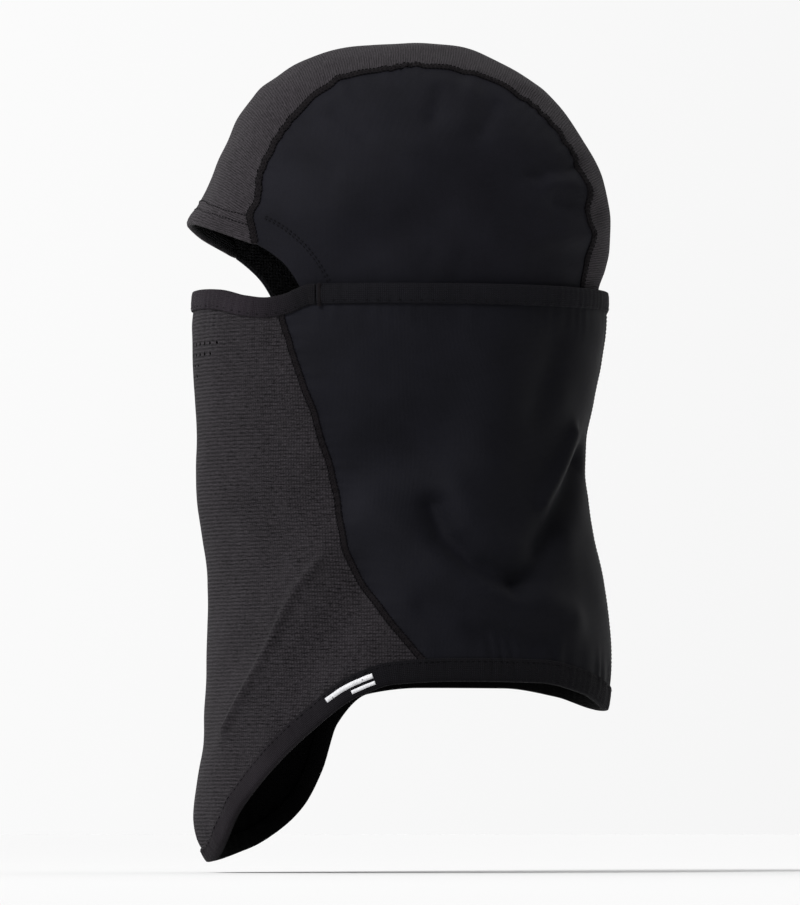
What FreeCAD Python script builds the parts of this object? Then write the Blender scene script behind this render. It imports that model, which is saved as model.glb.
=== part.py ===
"""Hinged ski balaclava: a knit and softshell hood whose skirt hangs inside a neck gaiter with a drop-down mask rim.

Frame: origin in the middle of the head at ear level, front (the face) towards -X, the wearer's left towards -Y,
+Z up. Millimetres. The fabric pieces are free-form sheets laid on two egg-shaped forms, so each is a Part::Feature;
every size is read from the sheet. The bar tacks and the label are PartDesign bodies.
"""
import FreeCAD, Part

import math
import os
from bisect import bisect_right

import Sketcher

V = FreeCAD.Vector

# ---------------------------------------------------------------- driving dimensions, kept in the spreadsheet

DIMS = [
    ("fabric", 1.8, "thickness of the bonded knit and of the softshell"),
    ("tape", 0.9, "thickness of one ply of the binding tape"),
    ("ease", 0.3, "gap between plies that touch"),
    ("butt", 0.18, "gap between two edges joined by a flatlock seam"),
    ("thread", 0.4, "how far a row of cover stitch stands proud"),
    ("seam_width", 3.4, "width of a flatlock seam"),
    ("stitch_width", 1.2, "width of a row of cover stitch"),
    ("skirt_bottom", -24.5, "height of the hood's lower edge, inside the gaiter"),
    ("binding_depth", 10.0, "depth of the mask rim and of the collar band"),
    ("hem_depth", 11.5, "depth of the bottom binding"),
    ("elastic_depth", 3.4, "depth of the elastic inside the rim and the band"),
    ("tack_x", -48.5, "where the mask rim ends and the band begins"),
    ("tack_gap", 0.6, "gap between the rim's end and the band's end"),
    ("brow_hem_depth", 7.0, "depth of the turned hem at the brow"),
    ("face_hem_depth", 13.5, "depth of the turned hem beside the eyes"),
    ("perforation", 1.5, "diameter of a breathing hole"),
    ("perforation_pitch", 5.6, "distance between breathing holes in a row"),
    ("perforation_row", 5.1, "distance between the rows of breathing holes"),
    ("perforation_top", -28.4, "height of the top row of breathing holes"),
    ("label_width", 24.0, "width of the care label"),
    ("label_drop", 30.0, "free length of the care label"),
    ("label_thickness", 0.4, "thickness of the folded satin label"),
    ("bar_width", 2.2, "width of a side bar tack"),
    ("bar_height", 11.0, "height of a side bar tack"),
    ("bar_proud", 0.8, "how far a bar tack stands proud"),
    ("mark_length", 22.0, "length of the reflective transfer"),
    ("mark_bar", 2.3, "width of one bar of the transfer"),
]
# Outlines of the two forms: (height, half size) rows, read as smooth curves. They go into the sheet too.
PROFILES = {
    "hood_front": [(-60, 91), (-25, 93.8), (0, 97), (18, 101.6), (31, 104.2), (34, 103.2), (38, 100.2),
                   (44, 96.8), (54, 92), (64, 88.2), (73.5, 83.4), (83, 79.3), (93, 72.4), (98, 68.2),
                   (103, 61.2), (108, 53.4), (113, 42.8), (117.6, 29.2), (119.6, 15.8), (120.6, 0)],
    "hood_back": [(-60, 92), (-25, 95), (0, 97.2), (10, 100.6), (20, 102.6), (34, 103.4), (44, 102.2),
                  (54, 99.8), (64, 95.3), (73.5, 89.1), (83, 82.3), (93, 74.5), (98, 69.9), (103, 63),
                  (108, 54.6), (113, 44.4), (117.6, 31.4), (119.6, 17.2), (120.6, 0)],
    "hood_half": [(-60, 69), (-25, 71.4), (0, 73.8), (18, 76.2), (36, 77.5), (58, 74.5), (78, 66.5), (88, 60.4),
                  (96, 54), (103, 46.4), (109, 37.5), (114, 28.4), (117.6, 20), (119.6, 11), (120.6, 0)],
    "gaiter_front": [(-320, 86), (-279, 95), (-269.5, 98), (-258, 99.4), (-240, 98.2), (-220, 95.4),
                     (-201, 94.2), (-181, 93.2), (-162, 93.2), (-142, 93.8), (-122.5, 96.2), (-103, 99.5),
                     (-88, 100), (-73.5, 99.4), (-54, 100.9), (-34, 102.1), (-20, 102.1), (-5, 100.5),
                     (30, 99.8)],
    "gaiter_back": [(-320, 88), (-240, 96), (-205, 100.8), (-181, 103.3), (-162, 101.9), (-142, 99),
                    (-122.5, 94.9), (-103, 91.7), (-88, 90.1), (-73.5, 90.6), (-54, 94.2), (-34, 98.1),
                    (-20, 100.3), (-5, 100.9), (30, 101.2)],
    "gaiter_half": [(-320, 73), (-240, 79), (-198, 82), (-160, 79), (-122, 73), (-83, 70), (-50, 73), (-25, 76),
                    (-5, 77.4), (30, 78)],
}
# Side-view lines on the forms: height against x, x against height, or half width against angle.
LINES = {
    "top_edge": [(-130, -1.4), (-101, -1.5), (-92, -2.6), (-81, -6.2), (-72, -7.6), (-64, -6.4), (-57, -3.4),
                 (-52, -1.9), (-48.5, -1.8), (-20, -1.6), (60, -1.3), (130, -1.0)],
    "hem_near": [(-130, -288), (-95, -279.4), (-83, -254), (-72, -238), (-52, -217), (-29, -199.6), (-12, -194),
                 (20, -192.5), (60, -193), (84, -198), (101, -205.5), (130, -212)],
    "hem_far": [(-130, -280), (-95, -279.4), (-70, -273), (-54, -264.5), (-40, -252), (-30, -234), (-22, -211),
                (-6, -196), (20, -193), (60, -193.4), (84, -198), (101, -205.5), (130, -212)],
    "face_edge": [(-40, -46.5), (-27, -48), (-14, -50.5), (-2, -55.5), (8, -62), (15, -70), (19.5, -77.5),
                  (22.5, -84.5), (25.5, -91), (28.5, -97), (31, -101.5), (34, -105.5), (60, -118)],
    "front_seam": [(-230, 42), (-215, 32), (-198, 18), (-181, 0), (-165, -13.3), (-146, -27), (-127.5, -35),
                   (-106, -38.5), (-84, -43.5), (-59.5, -50.5), (-36, -59), (-15, -64.8), (16, -67)],
    "crown_half": [(-10, 49.6), (9, 50.6), (18, 50.4), (29, 47.4), (42, 45.8), (54, 46), (64, 44.4), (75, 44.4),
                   (90, 43.2), (99, 42.6), (108, 42.2), (123, 40), (135, 39.8), (144, 40), (152, 41),
                   (162, 41.2), (170, 39.8), (178, 38.2), (195, 36)],
}
PERFORATIONS = [13, 11, 6, 5, 2]  # breathing holes in each row, from the top row down
FAN_HEIGHT = 10.0  # the crown panel's stations fan out about the cross axis at this height
APEX = 120.59  # just under the top of the hood


def new_document():
    doc = FreeCAD.newDocument("balaclava")
    sheet = doc.addObject("Spreadsheet::Sheet", "Dims")
    rows = list(DIMS)
    for table in (PROFILES, LINES):
        for name, points in table.items():
            for i, (at, value) in enumerate(points):
                rows.append((f"{name}_at_{i:02d}", at, f"{name}, position of row {i}"))
                rows.append((f"{name}_is_{i:02d}", value, f"{name}, value of row {i}"))
    for number, (alias, value, note) in enumerate(rows, start=1):
        sheet.set(f"A{number}", alias)
        sheet.set(f"B{number}", str(value))
        sheet.set(f"C{number}", note)
        sheet.setAlias(f"B{number}", alias)
    doc.recompute()
    return doc, sheet


# ---------------------------------------------------------------- curves and forms


class Smooth:
    """A curve through the rows of a table that never overshoots them (monotone cubic)."""

    def __init__(self, rows):
        self.at = [float(at) for at, _ in rows]
        self.value = [float(value) for _, value in rows]
        gaps = [b - a for a, b in zip(self.at, self.at[1:])]
        rises = [(b - a) / gap for a, b, gap in zip(self.value, self.value[1:], gaps)]
        self.slope = [rises[0]]
        for i in range(1, len(rises)):
            before, after = rises[i - 1], rises[i]
            if before * after <= 0:
                self.slope.append(0.0)
                continue
            w1, w2 = 2 * gaps[i] + gaps[i - 1], gaps[i] + 2 * gaps[i - 1]
            self.slope.append((w1 + w2) / (w1 / before + w2 / after))
        self.slope.append(rises[-1])

    def __call__(self, at):
        i = min(max(bisect_right(self.at, at) - 1, 0), len(self.at) - 2)
        gap = self.at[i + 1] - self.at[i]
        t = (at - self.at[i]) / gap
        if t < 0 or t > 1:
            end = 0 if t < 0 else -1
            return self.value[end] + self.slope[end] * (at - self.at[end])
        return (
            self.value[i] * (2 * t ** 3 - 3 * t ** 2 + 1)
            + self.slope[i] * gap * (t ** 3 - 2 * t ** 2 + t)
            + self.value[i + 1] * (3 * t ** 2 - 2 * t ** 3)
            + self.slope[i + 1] * gap * (t ** 3 - t ** 2)
        )


class Form:
    """An egg-shaped form: at each height two half ellipses that share their half width."""

    def __init__(self, table):
        squares = {key: Smooth([(z, v * v) for z, v in table[key]]) for key in ("front", "back", "half")}
        self.front2, self.back2, self.half2 = squares["front"], squares["back"], squares["half"]

    def radii2(self, x, z):
        long2 = self.front2(z) if x < 0 else self.back2(z)
        return max(long2, 1e-3), max(self.half2(z), 1e-3)

    def level(self, p):
        """Above 0 outside the form, below 0 inside."""
        long2, half2 = self.radii2(p.x, p.z)
        return p.x * p.x / long2 + p.y * p.y / half2 - 1

    def normal(self, p):
        long2, half2 = self.radii2(p.x, p.z)
        rise = (self.level(V(p.x, p.y, p.z + 0.02)) - self.level(V(p.x, p.y, p.z - 0.02))) / 0.04
        n = V(2 * p.x / long2, 2 * p.y / half2, rise)
        return n.normalize() if n.Length > 1e-6 else V(0, 0, 1)

    def girth(self, turn, z):
        """The point at an angle about the upright axis: 0 is the front, 90 the left side, 180 the back."""
        c, s = math.cos(math.radians(turn)), math.sin(math.radians(turn))
        long2, half2 = self.radii2(-c, z)
        return V(-c * math.sqrt(long2), -s * math.sqrt(half2), z)

    def side(self, x, z, left):
        """The point at a side-view position, on the left (-Y) or right side."""
        long2, half2 = self.radii2(x, z)
        y = math.sqrt(max(1 - x * x / long2, 0) * half2)
        return V(x, -y if left else y, z)

    def fan(self, turn, y):
        """The point in the upright plane at y, at an angle about the ear axis: 0 is the front, 90 straight up."""
        c, s = math.cos(math.radians(turn)), math.sin(math.radians(turn))
        low, high = 0.0, 140.0
        for _ in range(46):
            middle = (low + high) / 2
            z = FAN_HEIGHT + middle * s
            outside = z > APEX or self.level(V(-middle * c, y, z)) > 0
            low, high = (low, middle) if outside else (middle, high)
        return V(-low * c, y, FAN_HEIGHT + low * s)

    def turn_of(self, p):
        """The angle about the upright axis of a point on the form."""
        long2, half2 = self.radii2(p.x, p.z)
        return math.degrees(math.atan2(-p.y / math.sqrt(half2), -p.x / math.sqrt(long2)))

    def land(self, p):
        """The nearest point of the form to a point close to it."""
        for _ in range(4):
            n = self.normal(p)
            slope = (self.level(p + n * 0.05) - self.level(p - n * 0.05)) / 0.1
            p = p - n * (self.level(p) / slope)
        return p


def beside(form, path, distance):
    """A path on a form moved square to itself, to the left of its direction seen from outside."""
    moved = []
    for i, p in enumerate(path):
        along = path[min(i + 1, len(path) - 1)] - path[max(i - 1, 0)]
        across = form.normal(p).cross(along).normalize()
        moved.append(form.land(p + across * distance))
    return moved


def lifted(form, points, offset):
    return [p + form.normal(p) * offset for p in points]


def spread(start, end, count):
    return [start + (end - start) * i / (count - 1) for i in range(count)]


def fan_angle(p):
    turn = math.degrees(math.atan2(p.z - FAN_HEIGHT, -p.x)) % 360
    return turn if turn < 300 else turn - 360


# ---------------------------------------------------------------- solids laid on a form


def spline_edge(points):
    curve = Part.BSplineCurve()
    curve.interpolate(points)
    return curve.toShape()


def closed_solid(faces):
    shell = Part.makeShell(faces)
    shell.sewShape()
    solid = Part.Solid(shell)
    if solid.Volume < 0:
        solid.reverse()
    return solid


def sheet_solid(form, grid, outer, inner):
    """A sheet of fabric: the grid of points on the form gives its faces, at the outer and the inner offset."""
    surfaces = []
    for offset in (outer, inner):
        surface = Part.BSplineSurface()
        surface.interpolate([lifted(form, row, offset) for row in grid])
        surfaces.append(surface)
    faces = [surface.toShape() for surface in surfaces]
    bounds = [surface.bounds() for surface in surfaces]
    for which, name in ((0, "uIso"), (1, "uIso"), (2, "vIso"), (3, "vIso")):
        edges = [getattr(surface, name)(bound[which]).toShape() for surface, bound in zip(surfaces, bounds)]
        faces.append(Part.makeRuledSurface(*edges))
    return closed_solid(faces)


def tape_solid(form, path, profile, caps=((0, 1, 2, 3),)):
    """A tape along a path. The profile holds (distance beside the path, height above the form) corners in order;
    caps names the corners of each four-sided part of its end."""
    lanes = {distance: beside(form, path, distance) for distance, _ in profile}
    lines = [lifted(form, lanes[distance], height) for distance, height in profile]
    edges = [spline_edge(line) for line in lines]
    faces = [Part.makeRuledSurface(edges[i], edges[(i + 1) % len(edges)]) for i in range(len(edges))]
    for end in (0, -1):
        for a, b, c, d in caps:
            first = Part.LineSegment(lines[a][end], lines[b][end]).toShape()
            second = Part.LineSegment(lines[d][end], lines[c][end]).toShape()
            faces.append(Part.makeRuledSurface(first, second))
    return closed_solid(faces)


def strip(form, path, low, high, base, top):
    """A flat tape from low to high beside the path, from base to top above the form."""
    return tape_solid(form, path, [(low, base), (high, base), (high, top), (low, top)])


class Pattern:
    """The sizes of the sheet, the two forms and the lines that the pieces are cut along."""

    def __init__(self, doc, sheet):
        self.doc, self.sheet = doc, sheet
        tables = {name: self.rows(name, len(points)) for name, points in {**PROFILES, **LINES}.items()}
        self.hood = Form({key: tables["hood_" + key] for key in ("front", "back", "half")})
        self.gaiter = Form({key: tables["gaiter_" + key] for key in ("front", "back", "half")})
        self.line = {name: Smooth(tables[name]) for name in LINES}
        half_seam = self.dim("seam_width") / 2 + self.dim("butt")
        seam = [self.gaiter.side(self.line["front_seam"](z), z, True) for z in spread(10, -228, 81)]
        self.seam_turn = self.turn_line(seam)
        self.ahead_turn = self.turn_line(beside(self.gaiter, seam, -half_seam))
        self.behind_turn = self.turn_line(beside(self.gaiter, seam, half_seam))

    def dim(self, alias):
        return float(self.sheet.get(alias))

    def rows(self, name, count):
        return [(self.dim(f"{name}_at_{i:02d}"), self.dim(f"{name}_is_{i:02d}")) for i in range(count)]

    def turn_line(self, path):
        """The angle about the upright axis against the height, for a path down the gaiter's left side."""
        return Smooth(sorted((p.z, self.gaiter.turn_of(p)) for p in path))

    # lines on the gaiter, by angle about the upright axis: positive on the left, negative on the right

    def edge_point(self, left, right, turn, drop, start):
        """The gaiter's point at an angle where it meets a side-view line lowered by drop."""
        line = self.line[left if turn >= 0 else right]
        low, high = -319.0, start
        for _ in range(46):
            middle = (low + high) / 2
            p = self.gaiter.girth(turn, middle)
            low, high = (low, middle) if middle > line(p.x) - drop else (middle, high)
        return self.gaiter.girth(turn, low)

    def top_point(self, turn, drop=0.0):
        return self.edge_point("top_edge", "top_edge", turn if turn <= 180 else turn - 360, drop, 30.0)

    def hem_point(self, turn):
        return self.edge_point("hem_near", "hem_far", turn, 0.0, -100.0)

    def top_path(self, start, end, count):
        return [self.top_point(turn) for turn in spread(start, end, count)]

    # lines on the hood

    def brow_turn(self, share):
        """The fan angle where the face opening's edge crosses the crown panel, at a share of its half width."""
        low, high = -8.0, 60.0
        for _ in range(40):
            middle = (low + high) / 2
            p = self.hood.fan(middle, share * self.line["crown_half"](middle))
            low, high = (middle, high) if p.x < self.line["face_edge"](p.z) else (low, middle)
        return high

    def nape_turn(self, share):
        low, high = 150.0, 205.0
        for _ in range(40):
            middle = (low + high) / 2
            p = self.hood.fan(middle, share * self.line["crown_half"](middle))
            low, high = (middle, high) if p.z > self.dim("skirt_bottom") else (low, middle)
        return low

    def crown_seam(self, side, count=101):
        """The centre line of a crown seam from brow to nape; side is -1 on the left, 1 on the right."""
        turns = spread(self.brow_turn(1.0), self.nape_turn(1.0), count)
        return [self.hood.fan(turn, side * self.line["crown_half"](turn)) for turn in turns]

    def face_path(self, left, count=25):
        """The face opening's edge beside the eyes, from the crown seam down to the skirt's lower edge."""
        top = self.crown_seam(-1, 3)[0].z
        edge = self.line["face_edge"]
        return [self.hood.side(edge(z), z, left) for z in spread(top, self.dim("skirt_bottom"), count)]


# ---------------------------------------------------------------- the hood


def crown_panel(pattern):
    form = pattern.hood
    inset = pattern.dim("seam_width") / 2 + pattern.dim("butt")
    edge = beside(form, pattern.crown_seam(-1), inset)
    shares = spread(-1.0, 1.0, 17)
    starts = [pattern.brow_turn(abs(s)) - pattern.brow_turn(1.0) for s in shares]
    ends = [pattern.nape_turn(abs(s)) - pattern.nape_turn(1.0) for s in shares]
    grid = []
    for i, p in enumerate(edge):
        t = i / (len(edge) - 1)
        turns = [fan_angle(p) + start * (1 - t) + end * t for start, end in zip(starts, ends)]
        grid.append([form.fan(turn, s * -p.y) for turn, s in zip(turns, shares)])
    return sheet_solid(form, grid, 0.0, -pattern.dim("fabric"))


def even_side_view(points, count):
    """The side-view positions of points along their line, spaced evenly."""
    lengths = [0.0]
    for a, b in zip(points, points[1:]):
        lengths.append(lengths[-1] + math.hypot(b.x - a.x, b.z - a.z))
    x_of = Smooth(list(zip(lengths, (p.x for p in points))))
    z_of = Smooth(list(zip(lengths, (p.z for p in points))))
    return [(x_of(s), z_of(s)) for s in spread(0.0, lengths[-1], count)]


def filled_in(top, bottom, front, back, u, v, i, j):
    """The side-view position at shares u and v of a four-sided patch (a Coons patch)."""
    place = []
    for k in (0, 1):
        ruled = (1 - v) * top[i][k] + v * bottom[i][k] + (1 - u) * front[j][k] + u * back[j][k]
        near = (1 - u) * (1 - v) * top[0][k] + u * (1 - v) * top[-1][k]
        far = (1 - u) * v * bottom[0][k] + u * v * bottom[-1][k]
        place.append(ruled - near - far)
    return place


def hood_side(pattern, left):
    """A side panel, laid out in side view between the face edge, the crown seam and the skirt's lower edge."""
    form = pattern.hood
    inset = pattern.dim("seam_width") / 2 + pattern.dim("butt")
    seam = beside(form, pattern.crown_seam(-1 if left else 1), -inset if left else inset)
    split = int(len(seam) * 0.52)
    top, back = seam[: split + 1], seam[split:]
    face = pattern.face_path(left)
    face[0] = top[0]
    bottom_z = pattern.dim("skirt_bottom")
    back[-1] = form.side(back[-1].x, bottom_z, left)
    bottom = [form.side(x, bottom_z, left) for x in spread(face[-1].x, back[-1].x, 9)]
    across, down = 23, 19
    top, bottom = even_side_view(top, across), even_side_view(bottom, across)
    face, back = even_side_view(face, down), even_side_view(back, down)
    grid = []
    for j in range(down):
        row = []
        for i in range(across):
            x, z = filled_in(top, bottom, face, back, i / (across - 1), j / (down - 1), i, j)
            row.append(form.side(x, z, left))
        grid.append(row)
    return sheet_solid(form, grid, 0.0, -pattern.dim("fabric"))


def hood_pieces(pattern):
    form = pattern.hood
    thread, fabric, ease = pattern.dim("thread"), pattern.dim("fabric"), pattern.dim("ease")
    half_seam, half_row = pattern.dim("seam_width") / 2, pattern.dim("stitch_width") / 2
    pieces = {
        "crown_panel": crown_panel(pattern),
        "hood_side_left": hood_side(pattern, True),
        "hood_side_right": hood_side(pattern, False),
    }
    for name, side in (("left", -1), ("right", 1)):
        seam = pattern.crown_seam(side)
        pieces[f"crown_seam_{name}"] = strip(form, seam, -half_seam, half_seam, -fabric - thread, thread)
        edge = beside(form, pattern.face_path(side < 0, 41), -side * pattern.dim("face_hem_depth"))
        row = [p for p in edge if abs(p.y) > 56.5 and p.z > 2.0]
        pieces[f"face_hem_stitch_{name}"] = strip(form, row, -half_row, half_row, ease, ease + thread)
    half = pattern.line["crown_half"](10)
    brow = [form.fan(pattern.brow_turn(abs(s)), s * half) for s in spread(-0.93, 0.93, 25)]
    row = beside(form, brow, -pattern.dim("brow_hem_depth"))
    pieces["brow_hem_stitch"] = strip(form, row, -half_row, half_row, 2 * ease, 2 * ease + thread)
    join = [form.girth(turn if turn <= 180 else turn - 360, -9.0) for turn in spread(62.0, 298.0, 61)]
    base = -fabric - thread - 2 * ease
    pieces["hood_join_stitch"] = strip(form, join, -half_row, half_row, base - thread, base)
    return pieces


# ---------------------------------------------------------------- the gaiter


def hem_height(pattern, share, turn_at):
    """The height where a column of a panel ends, tucked into the hem binding."""
    tuck = pattern.dim("tape") + 2 * pattern.dim("ease") + 2.0
    low, high = -319.0, -120.0
    for _ in range(44):
        middle = (low + high) / 2
        turn = turn_at(share, middle)
        line = pattern.line["hem_near" if turn >= 0 else "hem_far"]
        p, ahead, behind = (pattern.gaiter.girth(turn + step, middle) for step in (0.0, -0.5, 0.5))
        run = math.hypot(ahead.x - behind.x, ahead.y - behind.y)
        slope = (line(ahead.x) - line(behind.x)) / run
        above = middle > line(p.x) + tuck * math.sqrt(1 + slope * slope)
        low, high = (low, middle) if above else (middle, high)
    return low


def gaiter_sheet(pattern, turn_at, columns, rows):
    """A panel between the top binding and the hem; turn_at(share, height) gives the angle of a column."""
    tuck = pattern.dim("elastic_depth") + pattern.dim("tape") + 2 * pattern.dim("ease")
    grid = []
    for share in columns:
        top = pattern.top_point(turn_at(share, -5.0), tuck * 1.08).z
        bottom = hem_height(pattern, share, turn_at)
        grid.append([pattern.gaiter.girth(turn_at(share, z), z) for z in spread(top, bottom, rows)])
    return sheet_solid(pattern.gaiter, grid, 0.0, -pattern.dim("fabric"))


def seam_path(pattern, side):
    """The centre line of a front seam, from under the top binding down to the hem binding."""
    top = pattern.top_point(pattern.seam_turn(-20.0), (pattern.dim("binding_depth") + 0.4) * 1.1).z
    gap = pattern.dim("hem_depth") + 1.6
    line = pattern.line["hem_near" if side > 0 else "hem_far"]
    low, high = -319.0, -120.0
    for _ in range(44):
        middle = (low + high) / 2
        above = middle > line(pattern.line["front_seam"](middle)) + gap
        low, high = (low, middle) if above else (middle, high)
    return [pattern.gaiter.girth(side * pattern.seam_turn(z), z) for z in spread(top, low, 41)]


def gaiter_pieces(pattern):
    form = pattern.gaiter
    fabric, thread = pattern.dim("fabric"), pattern.dim("thread")
    half_seam = pattern.dim("seam_width") / 2
    inset = math.degrees((half_seam + pattern.dim("butt")) / 75.0)

    def between_seams(share, z):
        return share * pattern.ahead_turn(z)

    def behind_left_seam(share, z):
        front = pattern.behind_turn(z)
        return front + share * (180.0 - inset * 1.08 - front)

    def behind_right_seam(share, z):
        return -behind_left_seam(share, z)

    pieces = {
        "front_panel": gaiter_sheet(pattern, between_seams, spread(-1, 1, 41), 31),
        "side_panel_left": gaiter_sheet(pattern, behind_left_seam, spread(0, 1, 25), 27),
        "side_panel_right": gaiter_sheet(pattern, behind_right_seam, spread(0, 1, 25), 27),
    }
    for name, side in (("left", 1), ("right", -1)):
        path = seam_path(pattern, side)
        pieces[f"front_seam_{name}"] = strip(form, path, -half_seam, half_seam, -fabric - thread, thread)
    top = pattern.top_point(180, pattern.dim("binding_depth") + 0.3).z
    bottom = pattern.hem_point(180).z + pattern.dim("hem_depth") + 0.5
    back = [form.girth(180, z) for z in spread(top, bottom, 31)]
    pieces["back_seam"] = strip(form, back, -half_seam, half_seam, -fabric - thread, thread)
    return pieces


def folded_tape(pattern, path, depth, side):
    """A binding tape folded over an edge. side is 1 where the fabric lies to the left of the path's direction."""
    fabric, tape, ease = pattern.dim("fabric"), pattern.dim("tape"), pattern.dim("ease")
    outside, inside = ease + tape, -fabric - ease - tape
    half, short, lining = depth / 2, depth - 1, inside + tape
    profile = [(depth, outside), (half, outside), (0, outside), (0, inside), (half, inside), (short, inside),
               (short, lining), (half, lining), (tape, lining), (tape, ease), (half, ease), (depth, ease)]
    profile = [(side * distance, height) for distance, height in profile]
    caps = ((11, 0, 1, 10), (10, 1, 2, 9), (9, 2, 3, 8), (8, 3, 4, 7), (7, 4, 5, 6))
    return tape_solid(pattern.gaiter, path, profile, caps)


def binding_pieces(pattern):
    form = pattern.gaiter
    fabric, tape, ease, thread = (pattern.dim(name) for name in ("fabric", "tape", "ease", "thread"))
    width, depth, on_tape = pattern.dim("stitch_width"), pattern.dim("binding_depth"), tape + 2 * ease
    tack_x, edge = pattern.dim("tack_x"), pattern.line["top_edge"]
    rim_end = form.turn_of(form.side(tack_x - pattern.dim("tack_gap"), edge(tack_x), True))
    band_end = form.turn_of(form.side(tack_x, edge(tack_x), True))
    rim = pattern.top_path(-rim_end, rim_end, 61)
    band = pattern.top_path(band_end, 360 - band_end, 81)
    band_row = pattern.top_path(band_end + 2.8, 357.2 - band_end, 81)
    high = -tape - ease
    low = high - pattern.dim("elastic_depth") + ease
    row_low, row_high = -depth + 1.2, -depth + 1.2 + width
    pieces = {
        "mask_rim_binding": folded_tape(pattern, rim, depth, -1),
        "mask_rim_elastic": strip(form, rim, low, high, -fabric + ease, -ease),
        "mask_rim_stitch": strip(form, rim, row_low, row_high, on_tape, on_tape + thread),
        "collar_band_binding": folded_tape(pattern, band, depth, -1),
        "collar_band_elastic": strip(form, band, low, high, -fabric + ease, -ease),
        "collar_band_stitch": strip(form, band_row, row_low, row_high, on_tape, on_tape + thread),
    }
    hem = [pattern.hem_point(turn) for turn in spread(-179.8, 179.8, 141)]
    hem_depth = pattern.dim("hem_depth")
    pieces["hem_binding"] = folded_tape(pattern, hem, hem_depth, 1)
    pieces["hem_stitch"] = strip(form, hem, hem_depth - 1.2 - width, hem_depth - 1.2, on_tape, on_tape + thread)
    pieces["transfer_mark"] = transfer_mark(pattern, on_tape)
    return pieces


def transfer_mark(pattern, base):
    """A plain reflective transfer of two bars on the hem binding, on the wearer's left."""
    bar, reach = pattern.dim("mark_bar"), math.degrees(pattern.dim("mark_length") / 100.0)
    bars = []
    for low, start in ((2.1, -0.5), (2.8 + bar, -0.12)):
        path = [pattern.hem_point(71.0 + reach * share) for share in spread(start, 0.5, 9)]
        bars.append(strip(pattern.gaiter, path, low, low + bar, base, base + 0.15))
    return Part.makeCompound(bars)


def perforated(pattern, panel):
    """The front panel, pierced by the rows of breathing holes over the mouth."""
    doc, form = pattern.doc, pattern.gaiter
    pitch = math.degrees(pattern.dim("perforation_pitch") / 76.0)
    pins = []
    for row, count in enumerate(PERFORATIONS):
        z = pattern.dim("perforation_top") - row * pattern.dim("perforation_row")
        for i in range(count):
            p = form.girth((i - (count - 1) / 2) * pitch, z)
            outwards = form.normal(p)
            pin = doc.addObject("Part::Cylinder", f"perforation_{row}_{i}")
            pin.setExpression("Radius", "Dims.perforation / 2")
            pin.setExpression("Height", "Dims.fabric * 4")
            pin.Placement = FreeCAD.Placement(p - outwards * 4, FreeCAD.Rotation(V(0, 0, 1), outwards))
            pins.append(pin)
    pack = doc.addObject("Part::Compound", "perforation_pins")
    pack.Links = pins
    cut = doc.addObject("Part::Cut", "front_panel")
    cut.Base, cut.Tool = panel, pack
    return cut


# ---------------------------------------------------------------- trims


def pad_body(doc, name, width, height, thickness, fillet):
    """A PartDesign body: a rectangle on the XY plane, padded, with rounded upright corners."""
    body = doc.addObject("PartDesign::Body", name)
    sketch = body.newObject("Sketcher::SketchObject", name + "_sketch")
    plane = next(o for o in body.Origin.OriginFeatures if o.Role == "XY_Plane")
    sketch.AttachmentSupport = [(plane, "")]
    sketch.MapMode = "FlatFace"
    corners = [V(-5, -5, 0), V(5, -5, 0), V(5, 5, 0), V(-5, 5, 0)]
    for i, corner in enumerate(corners):
        sketch.addGeometry(Part.LineSegment(corner, corners[(i + 1) % 4]), False)
    for i in range(4):
        sketch.addConstraint(Sketcher.Constraint("Coincident", i, 2, (i + 1) % 4, 1))
    for i, way in enumerate(("Horizontal", "Vertical", "Horizontal", "Vertical")):
        sketch.addConstraint(Sketcher.Constraint(way, i))
    sketch.addConstraint(Sketcher.Constraint("Symmetric", 0, 1, 1, 2, -1, 1))
    across = sketch.addConstraint(Sketcher.Constraint("DistanceX", 0, 1, 0, 2, 10))
    along = sketch.addConstraint(Sketcher.Constraint("DistanceY", 1, 1, 1, 2, 10))
    sketch.setExpression(f"Constraints[{across}]", width)
    sketch.setExpression(f"Constraints[{along}]", height)
    pad = body.newObject("PartDesign::Pad", name + "_pad")
    pad.Profile = sketch
    pad.setExpression("Length", thickness)
    doc.recompute()
    upright = [f"Edge{i + 1}" for i, edge in enumerate(pad.Shape.Edges)
               if abs(edge.tangentAt(edge.FirstParameter).z) > 0.99]
    rounding = body.newObject("PartDesign::Fillet", name + "_round")
    rounding.Base = (pad, upright)
    rounding.Radius = fillet
    body.Tip = rounding
    doc.recompute()
    return body


def facing(position, outwards):
    """The placement that lays a pad flat at a position, its thickness outwards and its length upright."""
    up = (V(0, 0, 1) - outwards * outwards.z).normalize()
    return FreeCAD.Placement(position, FreeCAD.Rotation(up.cross(outwards), up, outwards, "ZXY"))


def trims(pattern):
    """The two bar tacks that the mask rim hangs from, and the blank care label inside the nape."""
    form, made = pattern.gaiter, {}
    clear = pattern.dim("tape") + pattern.dim("ease") + 0.25
    x = pattern.dim("tack_x") + 0.7 + pattern.dim("bar_width") / 2
    for name, left in (("side_tack_left", True), ("side_tack_right", False)):
        p = form.side(x, -7.0, left)
        n = form.normal(p)
        body = pad_body(pattern.doc, name, "Dims.bar_width", "Dims.bar_height", "Dims.bar_proud", 0.9)
        body.Placement = facing(p + n * clear, n)
        made[name] = body
    label = pad_body(pattern.doc, "care_label", "Dims.label_width", "Dims.label_drop", "Dims.label_thickness", 1.0)
    label.Placement = facing(V(90.3, 0, -29.0), V(-0.998, 0, 0.06).normalize())
    made["care_label"] = label
    return made


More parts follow.
